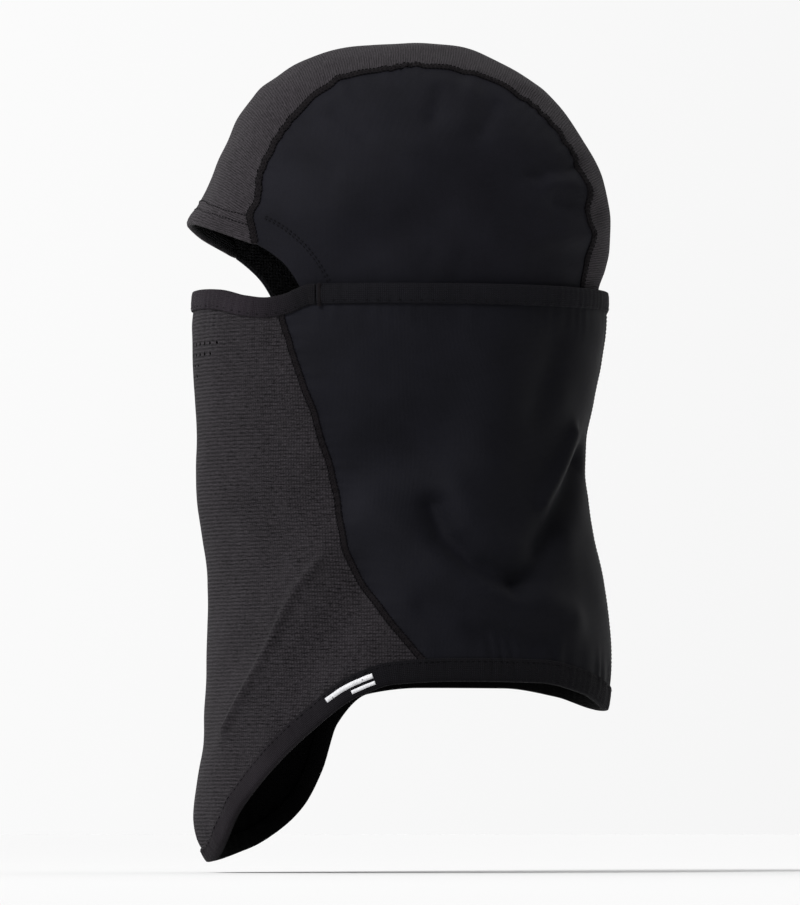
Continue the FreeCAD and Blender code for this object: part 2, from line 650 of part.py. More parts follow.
def check(doc, pieces):
    doc.recompute()
    bad = [o.Name for o in doc.Objects if {"Invalid", "Error"} & set(o.State)]
    if bad:
        raise SystemExit(f"failed objects: {bad}")
    for name, piece in pieces.items():
        shape = piece.Shape
        if shape.isNull() or not shape.isValid() or not shape.Solids or shape.Volume <= 0:
            raise SystemExit(f"{name} has no valid solid")


def main():
    doc, sheet = new_document()
    pattern = Pattern(doc, sheet)
    shapes = {**hood_pieces(pattern), **gaiter_pieces(pattern), **binding_pieces(pattern)}
    pieces = {}
    for name, shape in shapes.items():
        feature = doc.addObject("Part::Feature", "front_panel_cloth" if name == "front_panel" else name)
        feature.Shape = shape
        feature.Placement = FreeCAD.Placement()
        pieces[name] = feature
    pieces["front_panel"] = perforated(pattern, pieces["front_panel"])
    pieces.update(trims(pattern))
    check(doc, pieces)
    for name, piece in pieces.items():
        piece.Label = name
    os.makedirs("parts", exist_ok=True)
    for name, piece in pieces.items():
        piece.Shape.exportStep(os.path.join("parts", name + ".step"))


main()
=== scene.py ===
"""The looks of the hinged balaclava, laid on the same two forms as its CAD part.

Lengths are millimetres and turn into metres where a mesh is made. The studio and the camera are in metres.
The face looks along -X, the wearer's left is -Y, +Z is up.
"""
import math

import bmesh
import bpy
import numpy as np
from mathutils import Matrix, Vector, noise

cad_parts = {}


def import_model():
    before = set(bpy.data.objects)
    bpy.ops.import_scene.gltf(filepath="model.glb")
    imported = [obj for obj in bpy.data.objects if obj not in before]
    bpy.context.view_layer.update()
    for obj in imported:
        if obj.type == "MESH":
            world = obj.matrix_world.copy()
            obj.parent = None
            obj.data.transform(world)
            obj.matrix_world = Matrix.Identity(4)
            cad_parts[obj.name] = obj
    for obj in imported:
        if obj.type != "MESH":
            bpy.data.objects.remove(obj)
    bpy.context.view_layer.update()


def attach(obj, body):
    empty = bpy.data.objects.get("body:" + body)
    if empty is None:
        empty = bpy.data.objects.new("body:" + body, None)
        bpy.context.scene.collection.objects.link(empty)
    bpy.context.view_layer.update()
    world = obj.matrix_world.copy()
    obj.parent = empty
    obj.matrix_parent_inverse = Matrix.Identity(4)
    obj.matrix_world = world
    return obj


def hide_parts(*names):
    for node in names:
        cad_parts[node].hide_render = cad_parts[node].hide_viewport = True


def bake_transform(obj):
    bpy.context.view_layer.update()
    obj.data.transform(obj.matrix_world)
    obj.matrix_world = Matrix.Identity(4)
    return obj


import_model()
ROOT, RIM = "hood_and_gaiter", "mask_rim"

# ---- the two forms

PROFILES = {
    "hood_front": [
        (-60, 91), (-25, 93.8), (0, 97), (18, 101.6), (31, 104.2), (34, 103.2), (38, 100.2), (44, 96.8),
        (54, 92), (64, 88.2), (73.5, 83.4), (83, 79.3), (93, 72.4), (98, 68.2), (103, 61.2), (108, 53.4),
        (113, 42.8), (117.6, 29.2), (119.6, 15.8), (120.6, 0),
    ],
    "hood_back": [
        (-60, 92), (-25, 95), (0, 97.2), (10, 100.6), (20, 102.6), (34, 103.4), (44, 102.2), (54, 99.8),
        (64, 95.3), (73.5, 89.1), (83, 82.3), (93, 74.5), (98, 69.9), (103, 63), (108, 54.6), (113, 44.4),
        (117.6, 31.4), (119.6, 17.2), (120.6, 0),
    ],
    "hood_half": [
        (-60, 69), (-25, 71.4), (0, 73.8), (18, 76.2), (36, 77.5), (58, 74.5), (78, 66.5), (88, 60.4),
        (96, 54), (103, 46.4), (109, 37.5), (114, 28.4), (117.6, 20), (119.6, 11), (120.6, 0),
    ],
    "gaiter_front": [
        (-320, 86), (-279, 95), (-269.5, 98), (-258, 99.4), (-240, 98.2), (-220, 95.4), (-201, 94.2),
        (-181, 93.2), (-162, 93.2), (-142, 93.8), (-122.5, 96.2), (-103, 99.5), (-88, 100), (-73.5, 99.4),
        (-54, 100.9), (-34, 102.1), (-20, 102.1), (-5, 100.5), (30, 99.8),
    ],
    "gaiter_back": [
        (-320, 88), (-240, 96), (-205, 100.8), (-181, 103.3), (-162, 101.9), (-142, 99), (-122.5, 94.9),
        (-103, 91.7), (-88, 90.1), (-73.5, 90.6), (-54, 94.2), (-34, 98.1), (-20, 100.3), (-5, 100.9),
        (30, 101.2),
    ],
    "gaiter_half": [
        (-320, 73), (-240, 79), (-198, 82), (-160, 79), (-122, 73), (-83, 70), (-50, 73), (-25, 76),
        (-5, 77.4), (30, 78),
    ],
}
LINES = {
    "top_edge": [
        (-130, -1.4), (-101, -1.5), (-92, -2.6), (-81, -6.2), (-72, -7.6), (-64, -6.4), (-57, -3.4),
        (-52, -1.9), (-48.5, -1.8), (-20, -1.6), (60, -1.3), (130, -1.0),
    ],
    "hem_near": [
        (-130, -288), (-95, -279.4), (-83, -254), (-72, -238), (-52, -217), (-29, -199.6), (-12, -194),
        (20, -192.5), (60, -193), (84, -198), (101, -205.5), (130, -212),
    ],
    "hem_far": [
        (-130, -280), (-95, -279.4), (-70, -273), (-54, -264.5), (-40, -252), (-30, -234), (-22, -211),
        (-6, -196), (20, -193), (60, -193.4), (84, -198), (101, -205.5), (130, -212),
    ],
    "face_edge": [
        (-40, -46.5), (-27, -48), (-14, -50.5), (-2, -55.5), (8, -62), (15, -70), (19.5, -77.5),
        (22.5, -84.5), (25.5, -91), (28.5, -97), (31, -101.5), (34, -105.5), (60, -118),
    ],
    "front_seam": [
        (-230, 42), (-215, 32), (-198, 18), (-181, 0), (-165, -13.3), (-146, -27), (-127.5, -35),
        (-106, -38.5), (-84, -43.5), (-59.5, -50.5), (-36, -59), (-15, -64.8), (16, -67),
    ],
    "crown_half": [
        (-10, 49.6), (9, 50.6), (18, 50.4), (29, 47.4), (42, 45.8), (54, 46), (64, 44.4), (75, 44.4),
        (90, 43.2), (99, 42.6), (108, 42.2), (123, 40), (135, 39.8), (144, 40), (152, 41), (162, 41.2),
        (170, 39.8), (178, 38.2), (195, 36),
    ],
}
FABRIC, TAPE = 1.8, 0.9
SKIRT, FAN_HEIGHT, APEX = -24.5, 10.0, 120.59  # heights: the hood's lower edge, ear axis, crown
LOWEST, BEYOND = -319.0, 140.0  # a height under the gaiter, a reach outside the hood
HALF_GAP = 0.9  # how far a panel stops from its seam's middle
BROW_HEM, FACE_HEM = 7.4, 13.4
SEAM_TOP, SEAM_END = 9.0, 9.5  # how far from the edges the gaiter's seams end, under the bindings
TACK_X, TACK_GAP = -48.5, 0.5
HOLE_ROWS, HOLE_TOP, HOLE_DROP, HOLE_RADIUS = (13, 11, 6, 5, 2), -28.4, 5.1, 0.78
HOLE_PITCH, MOUTH_RADIUS = 5.6, 76.0
# Millimetres of the gaiter's girth per degree: at its folds, at the front seams, on the whole, at the back.
FOLD_RUN, SEAM_RUN, MEAN_RUN, BACK_RUN = 1.55, 1.4, 1.5, 1.35


class Smooth:
    """A curve through rows of (position, value) that never overshoots them (monotone cubic)."""

    def __init__(self, rows):
        self.at, self.value = np.array(rows, float).T
        gap = np.diff(self.at)
        rise = np.diff(self.value) / gap
        slope = np.zeros(len(rows))
        slope[0], slope[-1] = rise[0], rise[-1]
        w1, w2 = 2 * gap[1:] + gap[:-1], gap[1:] + 2 * gap[:-1]
        same_way = rise[1:] * rise[:-1] > 0
        safe = np.where(same_way, rise[1:], 1), np.where(same_way, rise[:-1], 1)
        slope[1:-1] = np.where(same_way, (w1 + w2) / (w1 / safe[1] + w2 / safe[0]), 0)
        self.slope = slope

    def __call__(self, at):
        at = np.asarray(at, float)
        i = np.clip(np.searchsorted(self.at, at, side="right") - 1, 0, len(self.at) - 2)
        gap = self.at[i + 1] - self.at[i]
        t = (at - self.at[i]) / gap
        inside = (
            self.value[i] * (2 * t ** 3 - 3 * t ** 2 + 1)
            + self.slope[i] * gap * (t ** 3 - 2 * t ** 2 + t)
            + self.value[i + 1] * (3 * t ** 2 - 2 * t ** 3)
            + self.slope[i + 1] * gap * (t ** 3 - t ** 2)
        )
        low = self.value[0] + self.slope[0] * (at - self.at[0])
        high = self.value[-1] + self.slope[-1] * (at - self.at[-1])
        return np.where(t < 0, low, np.where(t > 1, high, inside))


LINE = {name: Smooth(rows) for name, rows in LINES.items()}


def points(x, y, z):
    return np.stack(np.broadcast_arrays(x, y, z), axis=-1).astype(float)


def unit(v):
    return v / np.maximum(np.linalg.norm(v, axis=-1, keepdims=True), 1e-12)


def bisect(low, high, inside, steps=44):
    low, high = np.array(low, float), np.array(high, float)
    for _ in range(steps):
        middle = (low + high) / 2
        keep = inside(middle)
        low, high = np.where(keep, middle, low), np.where(keep, high, middle)
    return low


class Form:
    """An egg-shaped form: at each height two half ellipses that share their half width, with folds on top."""

    def __init__(self, name, relief):
        def squared(part):
            return Smooth([(z, v * v) for z, v in PROFILES[f"{name}_{part}"]])

        self.front2, self.back2, self.half2 = map(squared, ("front", "back", "half"))
        self.relief = relief

    def radii2(self, x, z):
        long2 = np.where(np.asarray(x) < 0, self.front2(z), self.back2(z))
        return np.maximum(long2, 1e-3), np.maximum(self.half2(z), 1e-3)

    def level(self, p):
        long2, half2 = self.radii2(p[..., 0], p[..., 2])
        return p[..., 0] ** 2 / long2 + p[..., 1] ** 2 / half2 - 1

    def normal(self, p):
        long2, half2 = self.radii2(p[..., 0], p[..., 2])
        step = np.array([0, 0, 0.02])
        rise = (self.level(p + step) - self.level(p - step)) / 0.04
        n = points(2 * p[..., 0] / long2, 2 * p[..., 1] / half2, rise)
        n[np.linalg.norm(n, axis=-1) < 1e-6] = (0, 0, 1)
        return unit(n)

    def girth(self, turn, z):
        """The point at an angle about the upright axis: 0 is the front, 90 the left side, 180 the back."""
        c, s = np.cos(np.radians(turn)), np.sin(np.radians(turn))
        long2, half2 = self.radii2(-c, z)
        return points(-c * np.sqrt(long2), -s * np.sqrt(half2), z)

    def side(self, x, z, left):
        long2, half2 = self.radii2(x, z)
        y = np.sqrt(np.maximum(1 - x * x / long2, 0) * half2)
        return points(x, -y if left else y, z)

    def fan(self, turn, y):
        """The point at y and at an angle about the ear axis: 0 is the front, 90 straight up."""
        turn, y = np.broadcast_arrays(np.asarray(turn, float), np.asarray(y, float))
        c, s = np.cos(np.radians(turn)), np.sin(np.radians(turn))

        def inside(reach):
            z = FAN_HEIGHT + reach * s
            return (z <= APEX) & (self.level(points(-reach * c, y, np.minimum(z, APEX))) <= 0)

        reach = bisect(np.zeros(turn.shape), np.full(turn.shape, BEYOND), inside, 46)
        return points(-reach * c, y, FAN_HEIGHT + reach * s)

    def turn_of(self, p):
        long2, half2 = self.radii2(p[..., 0], p[..., 2])
        return np.degrees(np.arctan2(-p[..., 1] / np.sqrt(half2), -p[..., 0] / np.sqrt(long2)))

    def land(self, p):
        for _ in range(4):
            n = self.normal(p)
            slope = (self.level(p + n * 0.05) - self.level(p - n * 0.05)) / 0.1
            p = p - n * (self.level(p) / slope)[..., None]
        return p

    def lift(self, p, height):
        """Points of the plain form, moved out by its folds and by a height."""
        height = np.asarray(height, float) + self.relief(self, p)
        return p + self.normal(p) * height[..., None]

    def beside(self, path, distance):
        """A path moved square to itself within the form, to the left of its direction seen from outside."""
        along = np.gradient(path, axis=0)
        across = unit(np.cross(self.normal(path), along))
        return self.land(path + across * distance)


# ---- folds

# Ridges (+) and creases (-) of the gaiter: height, width across, and side-view points on the wearer's left.
FOLDS = [
    (-3.8, 17, [(-25, -93), (8, -75)]),
    (-6.2, 6.5, [(8, -108), (12.5, -123), (25, -136), (46, -146)]),
    (3.4, 9, [(19, -101), (27, -116), (39, -127), (55, -134)]),
    (-6.0, 7.5, [(52, -143), (60.6, -130), (73.4, -110), (87, -84)]),
    (3.4, 5.5, [(64, -106), (72, -90), (80, -72)]),
    (4.6, 11, [(-22, -110), (3, -130), (28, -146), (75, -162)]),
    (3.6, 20, [(36, -26), (42, -58), (34, -90)]),
    (-2.6, 6, [(3, -156), (22, -160), (29, -168)]),
    (-2.4, 6, [(36, -170), (60, -175)]),
    (-1.8, 9, [(60, -60), (70, -30)]),
    (2.2, 12, [(-44, -131), (-56, -148), (-67, -173), (-76, -191), (-83, -206), (-87, -215)]),
    (2.5, 2.3, [(-46, -135), (-56.5, -148), (-67.5, -173), (-76.3, -191), (-82.7, -205), (-87, -215)]),
    (-2.6, 12, [(-28, -150), (-42, -172), (-55, -195)]),
]


def near_curve(s, z, curve, width):
    """How close (1 to 0) positions on the unrolled form are to a curve."""
    best = np.full(np.shape(s), 1e9)
    for (s0, z0), (s1, z1) in zip(curve, curve[1:]):
        ds, dz = s1 - s0, z1 - z0
        t = np.clip(((s - s0) * ds + (z - z0) * dz) / (ds * ds + dz * dz), 0, 1)
        best = np.minimum(best, (s - s0 - t * ds) ** 2 + (z - z0 - t * dz) ** 2)
    return np.exp(-best / width ** 2)


def waves(p, size, seed):
    """Smooth random waves of about a size, between -1 and 1."""
    flat = p.reshape(-1, 3) / size + seed
    value = np.array([noise.noise(Vector(q)) for q in flat])
    return value.reshape(p.shape[:-1])


def fade(distance, reach):
    t = np.clip(distance / reach, 0, 1)
    return t * t * (3 - 2 * t)


def ripple(distance, along, reach, pitch, seed):
    """Small uneven puckers beside a seam, from the distance to it and the way along it."""
    steps = along / pitch + 0.9 * np.sin(along / 13.0 + seed) + 0.35 * np.sin(along / 5.1 + 2 * seed)
    return np.exp(-(distance / reach) ** 2) * np.sin(2 * math.pi * steps)


# How far the bib stands off the form down its middle, by height.
TIP = Smooth([
    (-330, -3.2), (-283, -2.6), (-276, -1.2), (-267, 0.9), (-256, 1.7), (-238, 0.7), (-212, 0), (40, 0),
])


def hem_height(turn, p):
    """The height of the hem's line at points: the left side has one line and the right side another."""
    return np.where(turn >= 0, LINE["hem_near"](p[..., 0]), LINE["hem_far"](p[..., 0]))


def gaiter_relief(form, p):
    turn = form.turn_of(p)
    s, z = turn * FOLD_RUN, p[..., 2]
    height = np.zeros(turn.shape)
    for tall, width, curve in FOLDS:
        flat = np.array(curve, float)
        at = form.turn_of(form.side(flat[:, 0], flat[:, 1], True)) * FOLD_RUN
        on_left = list(zip(at, flat[:, 1]))
        on_right = list(zip(-at * 0.94 - 4, flat[:, 1] + 9))
        height = height + tall * near_curve(s, z, on_left, width)
        height = height + 0.8 * tall * near_curve(s, z, on_right, width * 1.15)
    height = height + 1.5 * waves(p * (1, 1, 0.6), 42, 3.1) + 0.5 * waves(p, 17, 9.7)
    below = LINE["top_edge"](p[..., 0]) - z
    hem = hem_height(turn, p)
    height = height * fade(below, 26) * (0.35 + 0.65 * fade(z - hem, 24))
    seam = (np.abs(turn) - SEAM_TURN(z)) * SEAM_RUN
    height = height + 0.28 * ripple(seam, z, 8.0, 6.3, 1.0) * fade(below, 12)
    height = height + 0.17 * ripple(below - 13, s, 9.0, 9.5, 3.0)
    height = height + 0.35 * ripple(z - hem - 14, s, 9.0, 12.5, 5.0)
    return height + np.exp(-((turn / 36) ** 2)) * TIP(z)


# Ridges and creases of the hood, the same way but in the plain side view, and shifted a little on the right.
HOOD_FOLDS = [
    (-1.9, 4.5, [(92, 36), (70, 40)]),
    (1.5, 5.0, [(88, 47), (66, 48)]),
    (-1.8, 4.5, [(82, 58), (64, 54)]),
    (-1.4, 3.0, [(56, 52), (62, 50)]),
    (1.4, 6.0, [(88, 24), (64, 22)]),
    (-1.8, 6.0, [(86, 14), (62, 10)]),
    (-1.3, 4.0, [(12, 92), (8, 78)]),
    (1.2, 6.0, [(28, 92), (22, 76)]),
    (-1.2, 4.0, [(40, 86), (32, 72)]),
    (-1.3, 4.5, [(-38, 82), (-26, 70)]),
    (-1.2, 4.5, [(-58, 60), (-42, 52)]),
    (-2.2, 13, [(-20, 12), (8, 30)]),
    (1.8, 14, [(-44, 30), (-20, 52), (10, 62)]),
    (-0.9, 3.2, [(2, 2), (6, 12)]),
    (0.9, 3.2, [(11, 2), (14, 12)]),
    (-0.9, 3.2, [(20, 2), (22, 12)]),
]


def fan_of(p):
    """The angle about the ear axis of each point, from -60 to 300."""
    fan = np.degrees(np.arctan2(p[..., 2] - FAN_HEIGHT, -p[..., 0])) % 360
    return np.where(fan > 300, fan - 360, fan)


def hood_relief(form, p):
    height = 1.1 * waves(p, 38, 5.3) + 0.45 * waves(p, 15, 1.9)
    shift = np.where(p[..., 1] < 0, 0, 5)
    for tall, width, curve in HOOD_FOLDS:
        height = height + tall * near_curve(p[..., 0] + shift, p[..., 2] - shift, curve, width)
    height = height * (0.25 + 0.75 * fade(p[..., 2] - 4, 20))
    fan = fan_of(p)
    seam = np.abs(p[..., 1]) - LINE["crown_half"](fan)
    strength = 0.33 - 0.06 * np.sign(p[..., 1])
    return height + strength * ripple(seam, fan * 1.6, 8.5, 11.0, 2.0) * fade(p[..., 2] - 12, 14)


HOOD = Form("hood", hood_relief)
GAITER = Form("gaiter", gaiter_relief)


def turn_line(path):
    order = np.argsort(path[:, 2])
    return Smooth(np.stack([path[order, 2], GAITER.turn_of(path[order])], axis=1))


def seam_turns(distance):
    """The front seam's angle at each height, moved beside itself by a distance."""
    z = np.linspace(10, -228, 120)
    path = GAITER.side(LINE["front_seam"](z), z, True)
    return turn_line(GAITER.beside(path, distance) if distance else path)


SEAM_TURN, AHEAD_TURN, BEHIND_TURN = seam_turns(0.0), seam_turns(-1.0), seam_turns(1.0)

# ---- lines on the forms


def edge_points(left, right, turn, drop=0.0, start=30.0):
    """The gaiter's points at some angles where they meet a side-view line lowered by drop."""
    turn = np.where(np.asarray(turn, float) > 180, np.asarray(turn, float) - 360, turn)

    def below(z):
        x = GAITER.girth(turn, z)[..., 0]
        return z < np.where(turn >= 0, LINE[left](x), LINE[right](x)) - drop

    z = bisect(np.full(turn.shape, LOWEST), np.full(turn.shape, start), below)
    return GAITER.girth(turn, z)


def top_points(turn, drop=0.0):
    return edge_points("top_edge", "top_edge", turn, drop)


def hem_points(turn, rise=0.0):
    return edge_points("hem_near", "hem_far", turn, -rise, -100.0)


def brow_turn(share):
    share = np.asarray(share, float)

    def opening(turn):
        p = HOOD.fan(turn, share * LINE["crown_half"](turn))
        return p[..., 0] < LINE["face_edge"](p[..., 2])

    return bisect(np.full(share.shape, -8.0), np.full(share.shape, 60.0), opening, 36)


def nape_turn(share):
    share = np.asarray(share, float)

    def above(turn):
        return HOOD.fan(turn, share * LINE["crown_half"](turn))[..., 2] > SKIRT

    return bisect(np.full(share.shape, 150.0), np.full(share.shape, 205.0), above, 36)


def crown_seam(side, count):
    turn = np.linspace(brow_turn(1.0), nape_turn(1.0), count)
    return HOOD.fan(turn, side * LINE["crown_half"](turn))


def face_path(left, count):
    top = crown_seam(-1, 3)[0, 2]
    z = np.linspace(top, SKIRT, count)
    return HOOD.side(LINE["face_edge"](z), z, left)


# ---- meshes


def add_object(name, data):
    obj = bpy.data.objects.new(name, data)
    bpy.context.scene.collection.objects.link(obj)
    return obj


def make_mesh(name, verts, faces, uv, materials, material_index=None, smooth=True):
    mesh = bpy.data.meshes.new(name)
    mesh.from_pydata((np.asarray(verts) * 0.001).tolist(), [], [list(map(int, f)) for f in faces])
    for material in materials:
        mesh.materials.append(material)
    if material_index is not None:
        mesh.polygons.foreach_set("material_index", np.asarray(material_index, np.int32))
    mesh.polygons.foreach_set("use_smooth", np.full(len(mesh.polygons), smooth))
    layer = mesh.uv_layers.new(name="UVMap")
    loops = np.zeros(len(mesh.loops), np.int32)
    mesh.loops.foreach_get("vertex_index", loops)
    layer.data.foreach_set("uv", np.asarray(uv, np.float32)[loops].ravel())
    mesh.update()
    return add_object(name, mesh)


def belongs(obj, node, moves="root"):
    """Hides the piece's CAD node and hangs the piece on the root body; a stretching piece stays on no body,
    its transform baked.
    """
    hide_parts(node)
    if moves == "stretch":
        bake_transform(obj)
    else:
        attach(obj, ROOT)
    return obj


def rods(count, rings, sides):
    """The faces of a number of closed rods, each of some rings with some sides."""
    one = []
    for r in range(rings - 1):
        for k in range(sides):
            m = (k + 1) % sides
            one.append([r * sides + k, r * sides + m, (r + 1) * sides + m, (r + 1) * sides + k])
    one += [list(range(sides))[::-1], [(rings - 1) * sides + k for k in range(sides)]]
    return [[v + rings * sides * i for v in face] for i in range(count) for face in one]


def border(rows, cols):
    """The places round the edge of a grid, in order, as rows and columns."""
    ring = [(0, j) for j in range(cols)] + [(i, cols - 1) for i in range(1, rows)]
    ring += [(rows - 1, j) for j in range(cols - 2, -1, -1)] + [(i, 0) for i in range(rows - 2, 0, -1)]
    return tuple(np.array(ring).T)


def grid_faces(rows, cols, start=0, flip=False):
    i, j = np.meshgrid(np.arange(rows - 1), np.arange(cols - 1), indexing="ij")
    a = start + i * cols + j
    quads = np.stack([a, a + 1, a + cols + 1, a + cols], axis=-1).reshape(-1, 4)
    return quads[:, ::-1] if flip else quads


def cloth(name, form, base, uv, materials, hem=0.0, rounds=4):
    """A panel of cloth with rounded edges, from a grid of points of a form.

    The second material is its inner face. hem is from 0 to 1 over the grid, 1 where it is turned in double.
    """
    rows, cols = base.shape[:2]
    outer, inner = form.lift(base, 0.35 * hem), form.lift(base, -FABRIC - 0.9 * hem)
    n = unit(outer - inner)
    edge = border(rows, cols)
    next_in = np.clip(edge[0], 1, rows - 2), np.clip(edge[1], 1, cols - 2)
    at, low, up = outer[edge], inner[edge], n[edge]
    out = at - outer[next_in]
    out = unit(out - up * (out * up).sum(-1, keepdims=True))
    middle, half = (at + low) / 2, np.linalg.norm(at - low, axis=-1, keepdims=True) / 2
    verts, uvs = [outer.reshape(-1, 3), inner.reshape(-1, 3)], [uv.reshape(-1, 2)] * 2
    size, loops = rows * cols, [edge[0] * cols + edge[1]]
    for k in range(1, rounds):
        angle = math.pi * k / rounds
        verts.append(middle + up * half * math.cos(angle) + out * half * math.sin(angle))
        uvs.append(uv[edge])
        loops.append(2 * size + (k - 1) * len(at) + np.arange(len(at)))
    loops.append(loops[0] + size)
    faces = [grid_faces(rows, cols), grid_faces(rows, cols, size, flip=True)]
    index = [np.zeros(len(faces[0])), np.ones(len(faces[1]))]
    for k, (a, b) in enumerate(zip(loops, loops[1:])):
        faces.append(np.stack([a, b, np.roll(b, -1), np.roll(a, -1)], axis=-1))
        index.append(np.full(len(a), 0 if k < rounds - 1 else 1))
    verts, faces = np.concatenate(verts), np.concatenate(faces)
    if np.cross(outer[1, 0] - outer[0, 0], outer[0, 1] - outer[0, 0]) @ n[0, 0] > 0:
        faces = faces[:, ::-1]
    return make_mesh(name, verts, faces, np.concatenate(uvs), materials, np.concatenate(index))


def lengths(path):
    return np.concatenate([[0], np.cumsum(np.linalg.norm(np.diff(path, axis=0), axis=-1))])


def tape(name, form, path, profile, material, ruffle=None, spread=1.0):
    """A tape along a path. The profile is a closed outline of (distance beside it, height over the form)."""
    count, corners = len(path), len(profile)
    spread = (spread * np.ones(count))[:, None]
    along = lengths(path)
    wave = np.zeros(count) if ruffle is None else ruffle(along)
    lanes = {}
    verts, uv = [], []
    around = 0.0
    for k, (distance, height) in enumerate(profile):
        if distance not in lanes:
            lanes[distance] = form.beside(path, distance * spread)
        verts.append(form.lift(lanes[distance], height + wave * (1 if height > -1 else 0.3)))
        if k:
            around += math.dist(profile[k], profile[k - 1])
        uv.append(np.stack([np.full(count, around), along], axis=-1))
    faces = []
    for k in range(corners):
        a, b = k * count + np.arange(count - 1), (k + 1) % corners * count + np.arange(count - 1)
        faces.append(np.stack([a, b, b + 1, a + 1], axis=-1))
    faces = [list(f) for f in np.concatenate(faces)]
    faces.append([k * count for k in range(corners)][::-1])
    faces.append([k * count + count - 1 for k in range(corners)])
    obj = make_mesh(name, np.concatenate(verts), faces, np.concatenate(uv), [material])
    fix_normals(obj)
    return obj


def fix_normals(obj):
    bm = bmesh.new()
    bm.from_mesh(obj.data)
    bmesh.ops.recalc_face_normals(bm, faces=bm.faces)
    bm.to_mesh(obj.data)
    bm.free()


def stitch_mesh(name, centres, along, up, size, thick, material):
    """Short rounded stitches from arrays of centres, directions and facings."""
    rings, sides = 5, 6
    t = np.linspace(-1, 1, rings)
    radius = np.sqrt(np.maximum(1 - t ** 4, 0.12))
    angle = np.arange(sides) * 2 * math.pi / sides
    across = unit(np.cross(up, along))
    up = unit(np.cross(along, across))
    local = np.stack([
        np.repeat(t / 2, sides),
        np.outer(radius, np.cos(angle)).ravel() * thick / 2,
        np.outer(radius, np.sin(angle)).ravel() * thick / 2,
    ], axis=-1)
    bend = -(t ** 2) * thick * 0.5
    local[:, 2] += np.repeat(bend, sides)
    verts = (
        centres[:, None]
        + size * local[None, :, :1] * along[:, None]
        + local[None, :, 1:2] * across[:, None]
        + local[None, :, 2:] * up[:, None]
    )
    uv = np.zeros((len(centres) * rings * sides, 2))
    return make_mesh(name, verts.reshape(-1, 3), rods(len(centres), rings, sides), uv, [material])


def spaced(path, pitch):
    """Points at even distances along a path."""
    s = lengths(path)
    count = max(int(s[-1] / pitch), 2)
    at = (np.arange(count) + 0.5) * s[-1] / count
    return np.stack([np.interp(at, s, path[:, k]) for k in range(3)], axis=-1)


def stitch_row(form, path, distance, height, pitch, slant=0.0):
    """Centres, directions and facings of a row of stitches beside a path."""
    lane = form.land(spaced(form.beside(path, distance), pitch))
    lifted = form.lift(lane, height)
    along = unit(np.gradient(lifted, axis=0))
    up = form.normal(lane)
    across = unit(np.cross(up, along))
    turn = math.radians(slant)
    return lifted, along * math.cos(turn) + across * math.sin(turn), up


def joined(rows):
    return [np.concatenate(parts) for parts in zip(*rows)]


# ---- materials


def new_material(name, color, roughness, sheen, sheen_roughness=0.5, specular=0.06):
    material = bpy.data.materials.new(name)
    material.use_nodes = True
    tree = material.node_tree
    shader = tree.nodes["Principled BSDF"]
    shader.inputs["Base Color"].default_value = (*color, 1)
    shader.inputs["Roughness"].default_value = roughness
    shader.inputs["Specular IOR Level"].default_value = specular
    shader.inputs["Sheen Weight"].default_value = sheen
    shader.inputs["Sheen Roughness"].default_value = sheen_roughness
    return material, tree, shader


def math_node(tree, operation, *values, clamp=False):
    """A math node fed by sockets and numbers."""
    node = tree.nodes.new("ShaderNodeMath")
    node.operation = operation
    node.use_clamp = clamp
    for socket, value in zip(node.inputs, values):
        if isinstance(value, (int, float)):
            socket.default_value = value
        else:
            tree.links.new(value, socket)
    return node.outputs[0]


def uv_axes(tree):
    uv = tree.nodes.new("ShaderNodeUVMap")
    uv.uv_map = "UVMap"
    split = tree.nodes.new("ShaderNodeSeparateXYZ")
    tree.links.new(uv.outputs[0], split.inputs[0])
    return uv.outputs[0], split.outputs[0], split.outputs[1]


def noise_node(tree, vector, scale, detail, stretch=(1, 1, 1)):
    mapping = tree.nodes.new("ShaderNodeMapping")
    mapping.inputs["Scale"].default_value = stretch
    tree.links.new(vector, mapping.inputs["Vector"])
    node = tree.nodes.new("ShaderNodeTexNoise")
    node.inputs["Scale"].default_value = scale
    node.inputs["Detail"].default_value = detail
    tree.links.new(mapping.outputs[0], node.inputs["Vector"])
    return node.outputs["Fac"]


def scaled(tree, value, factor, offset):
    return math_node(tree, "MULTIPLY_ADD", value, factor, offset)


def rib_wave(tree, axis, pitch):
    """A wave from 0 to 1 with its crests a pitch apart."""
    turned = math_node(tree, "MULTIPLY", axis, 2 * math.pi / pitch)
    return scaled(tree, math_node(tree, "SINE", turned), 0.5, 0.5)


def color_ramp(tree, value, stops):
    """A blend between two colours, each given with its place."""
    ramp = tree.nodes.new("ShaderNodeValToRGB")
    elements = ramp.color_ramp.elements
    for element, (at, color) in zip(elements, stops):
        element.position = at
        element.color = (*color, 1)
    tree.links.new(value, ramp.inputs[0])
    return ramp.outputs[0]


def bump(tree, shader, height, distance):
    node = tree.nodes.new("ShaderNodeBump")
    node.inputs["Strength"].default_value = 1.0
    node.inputs["Distance"].default_value = distance
    tree.links.new(height, node.inputs["Height"])
    tree.links.new(node.outputs[0], shader.inputs["Normal"])


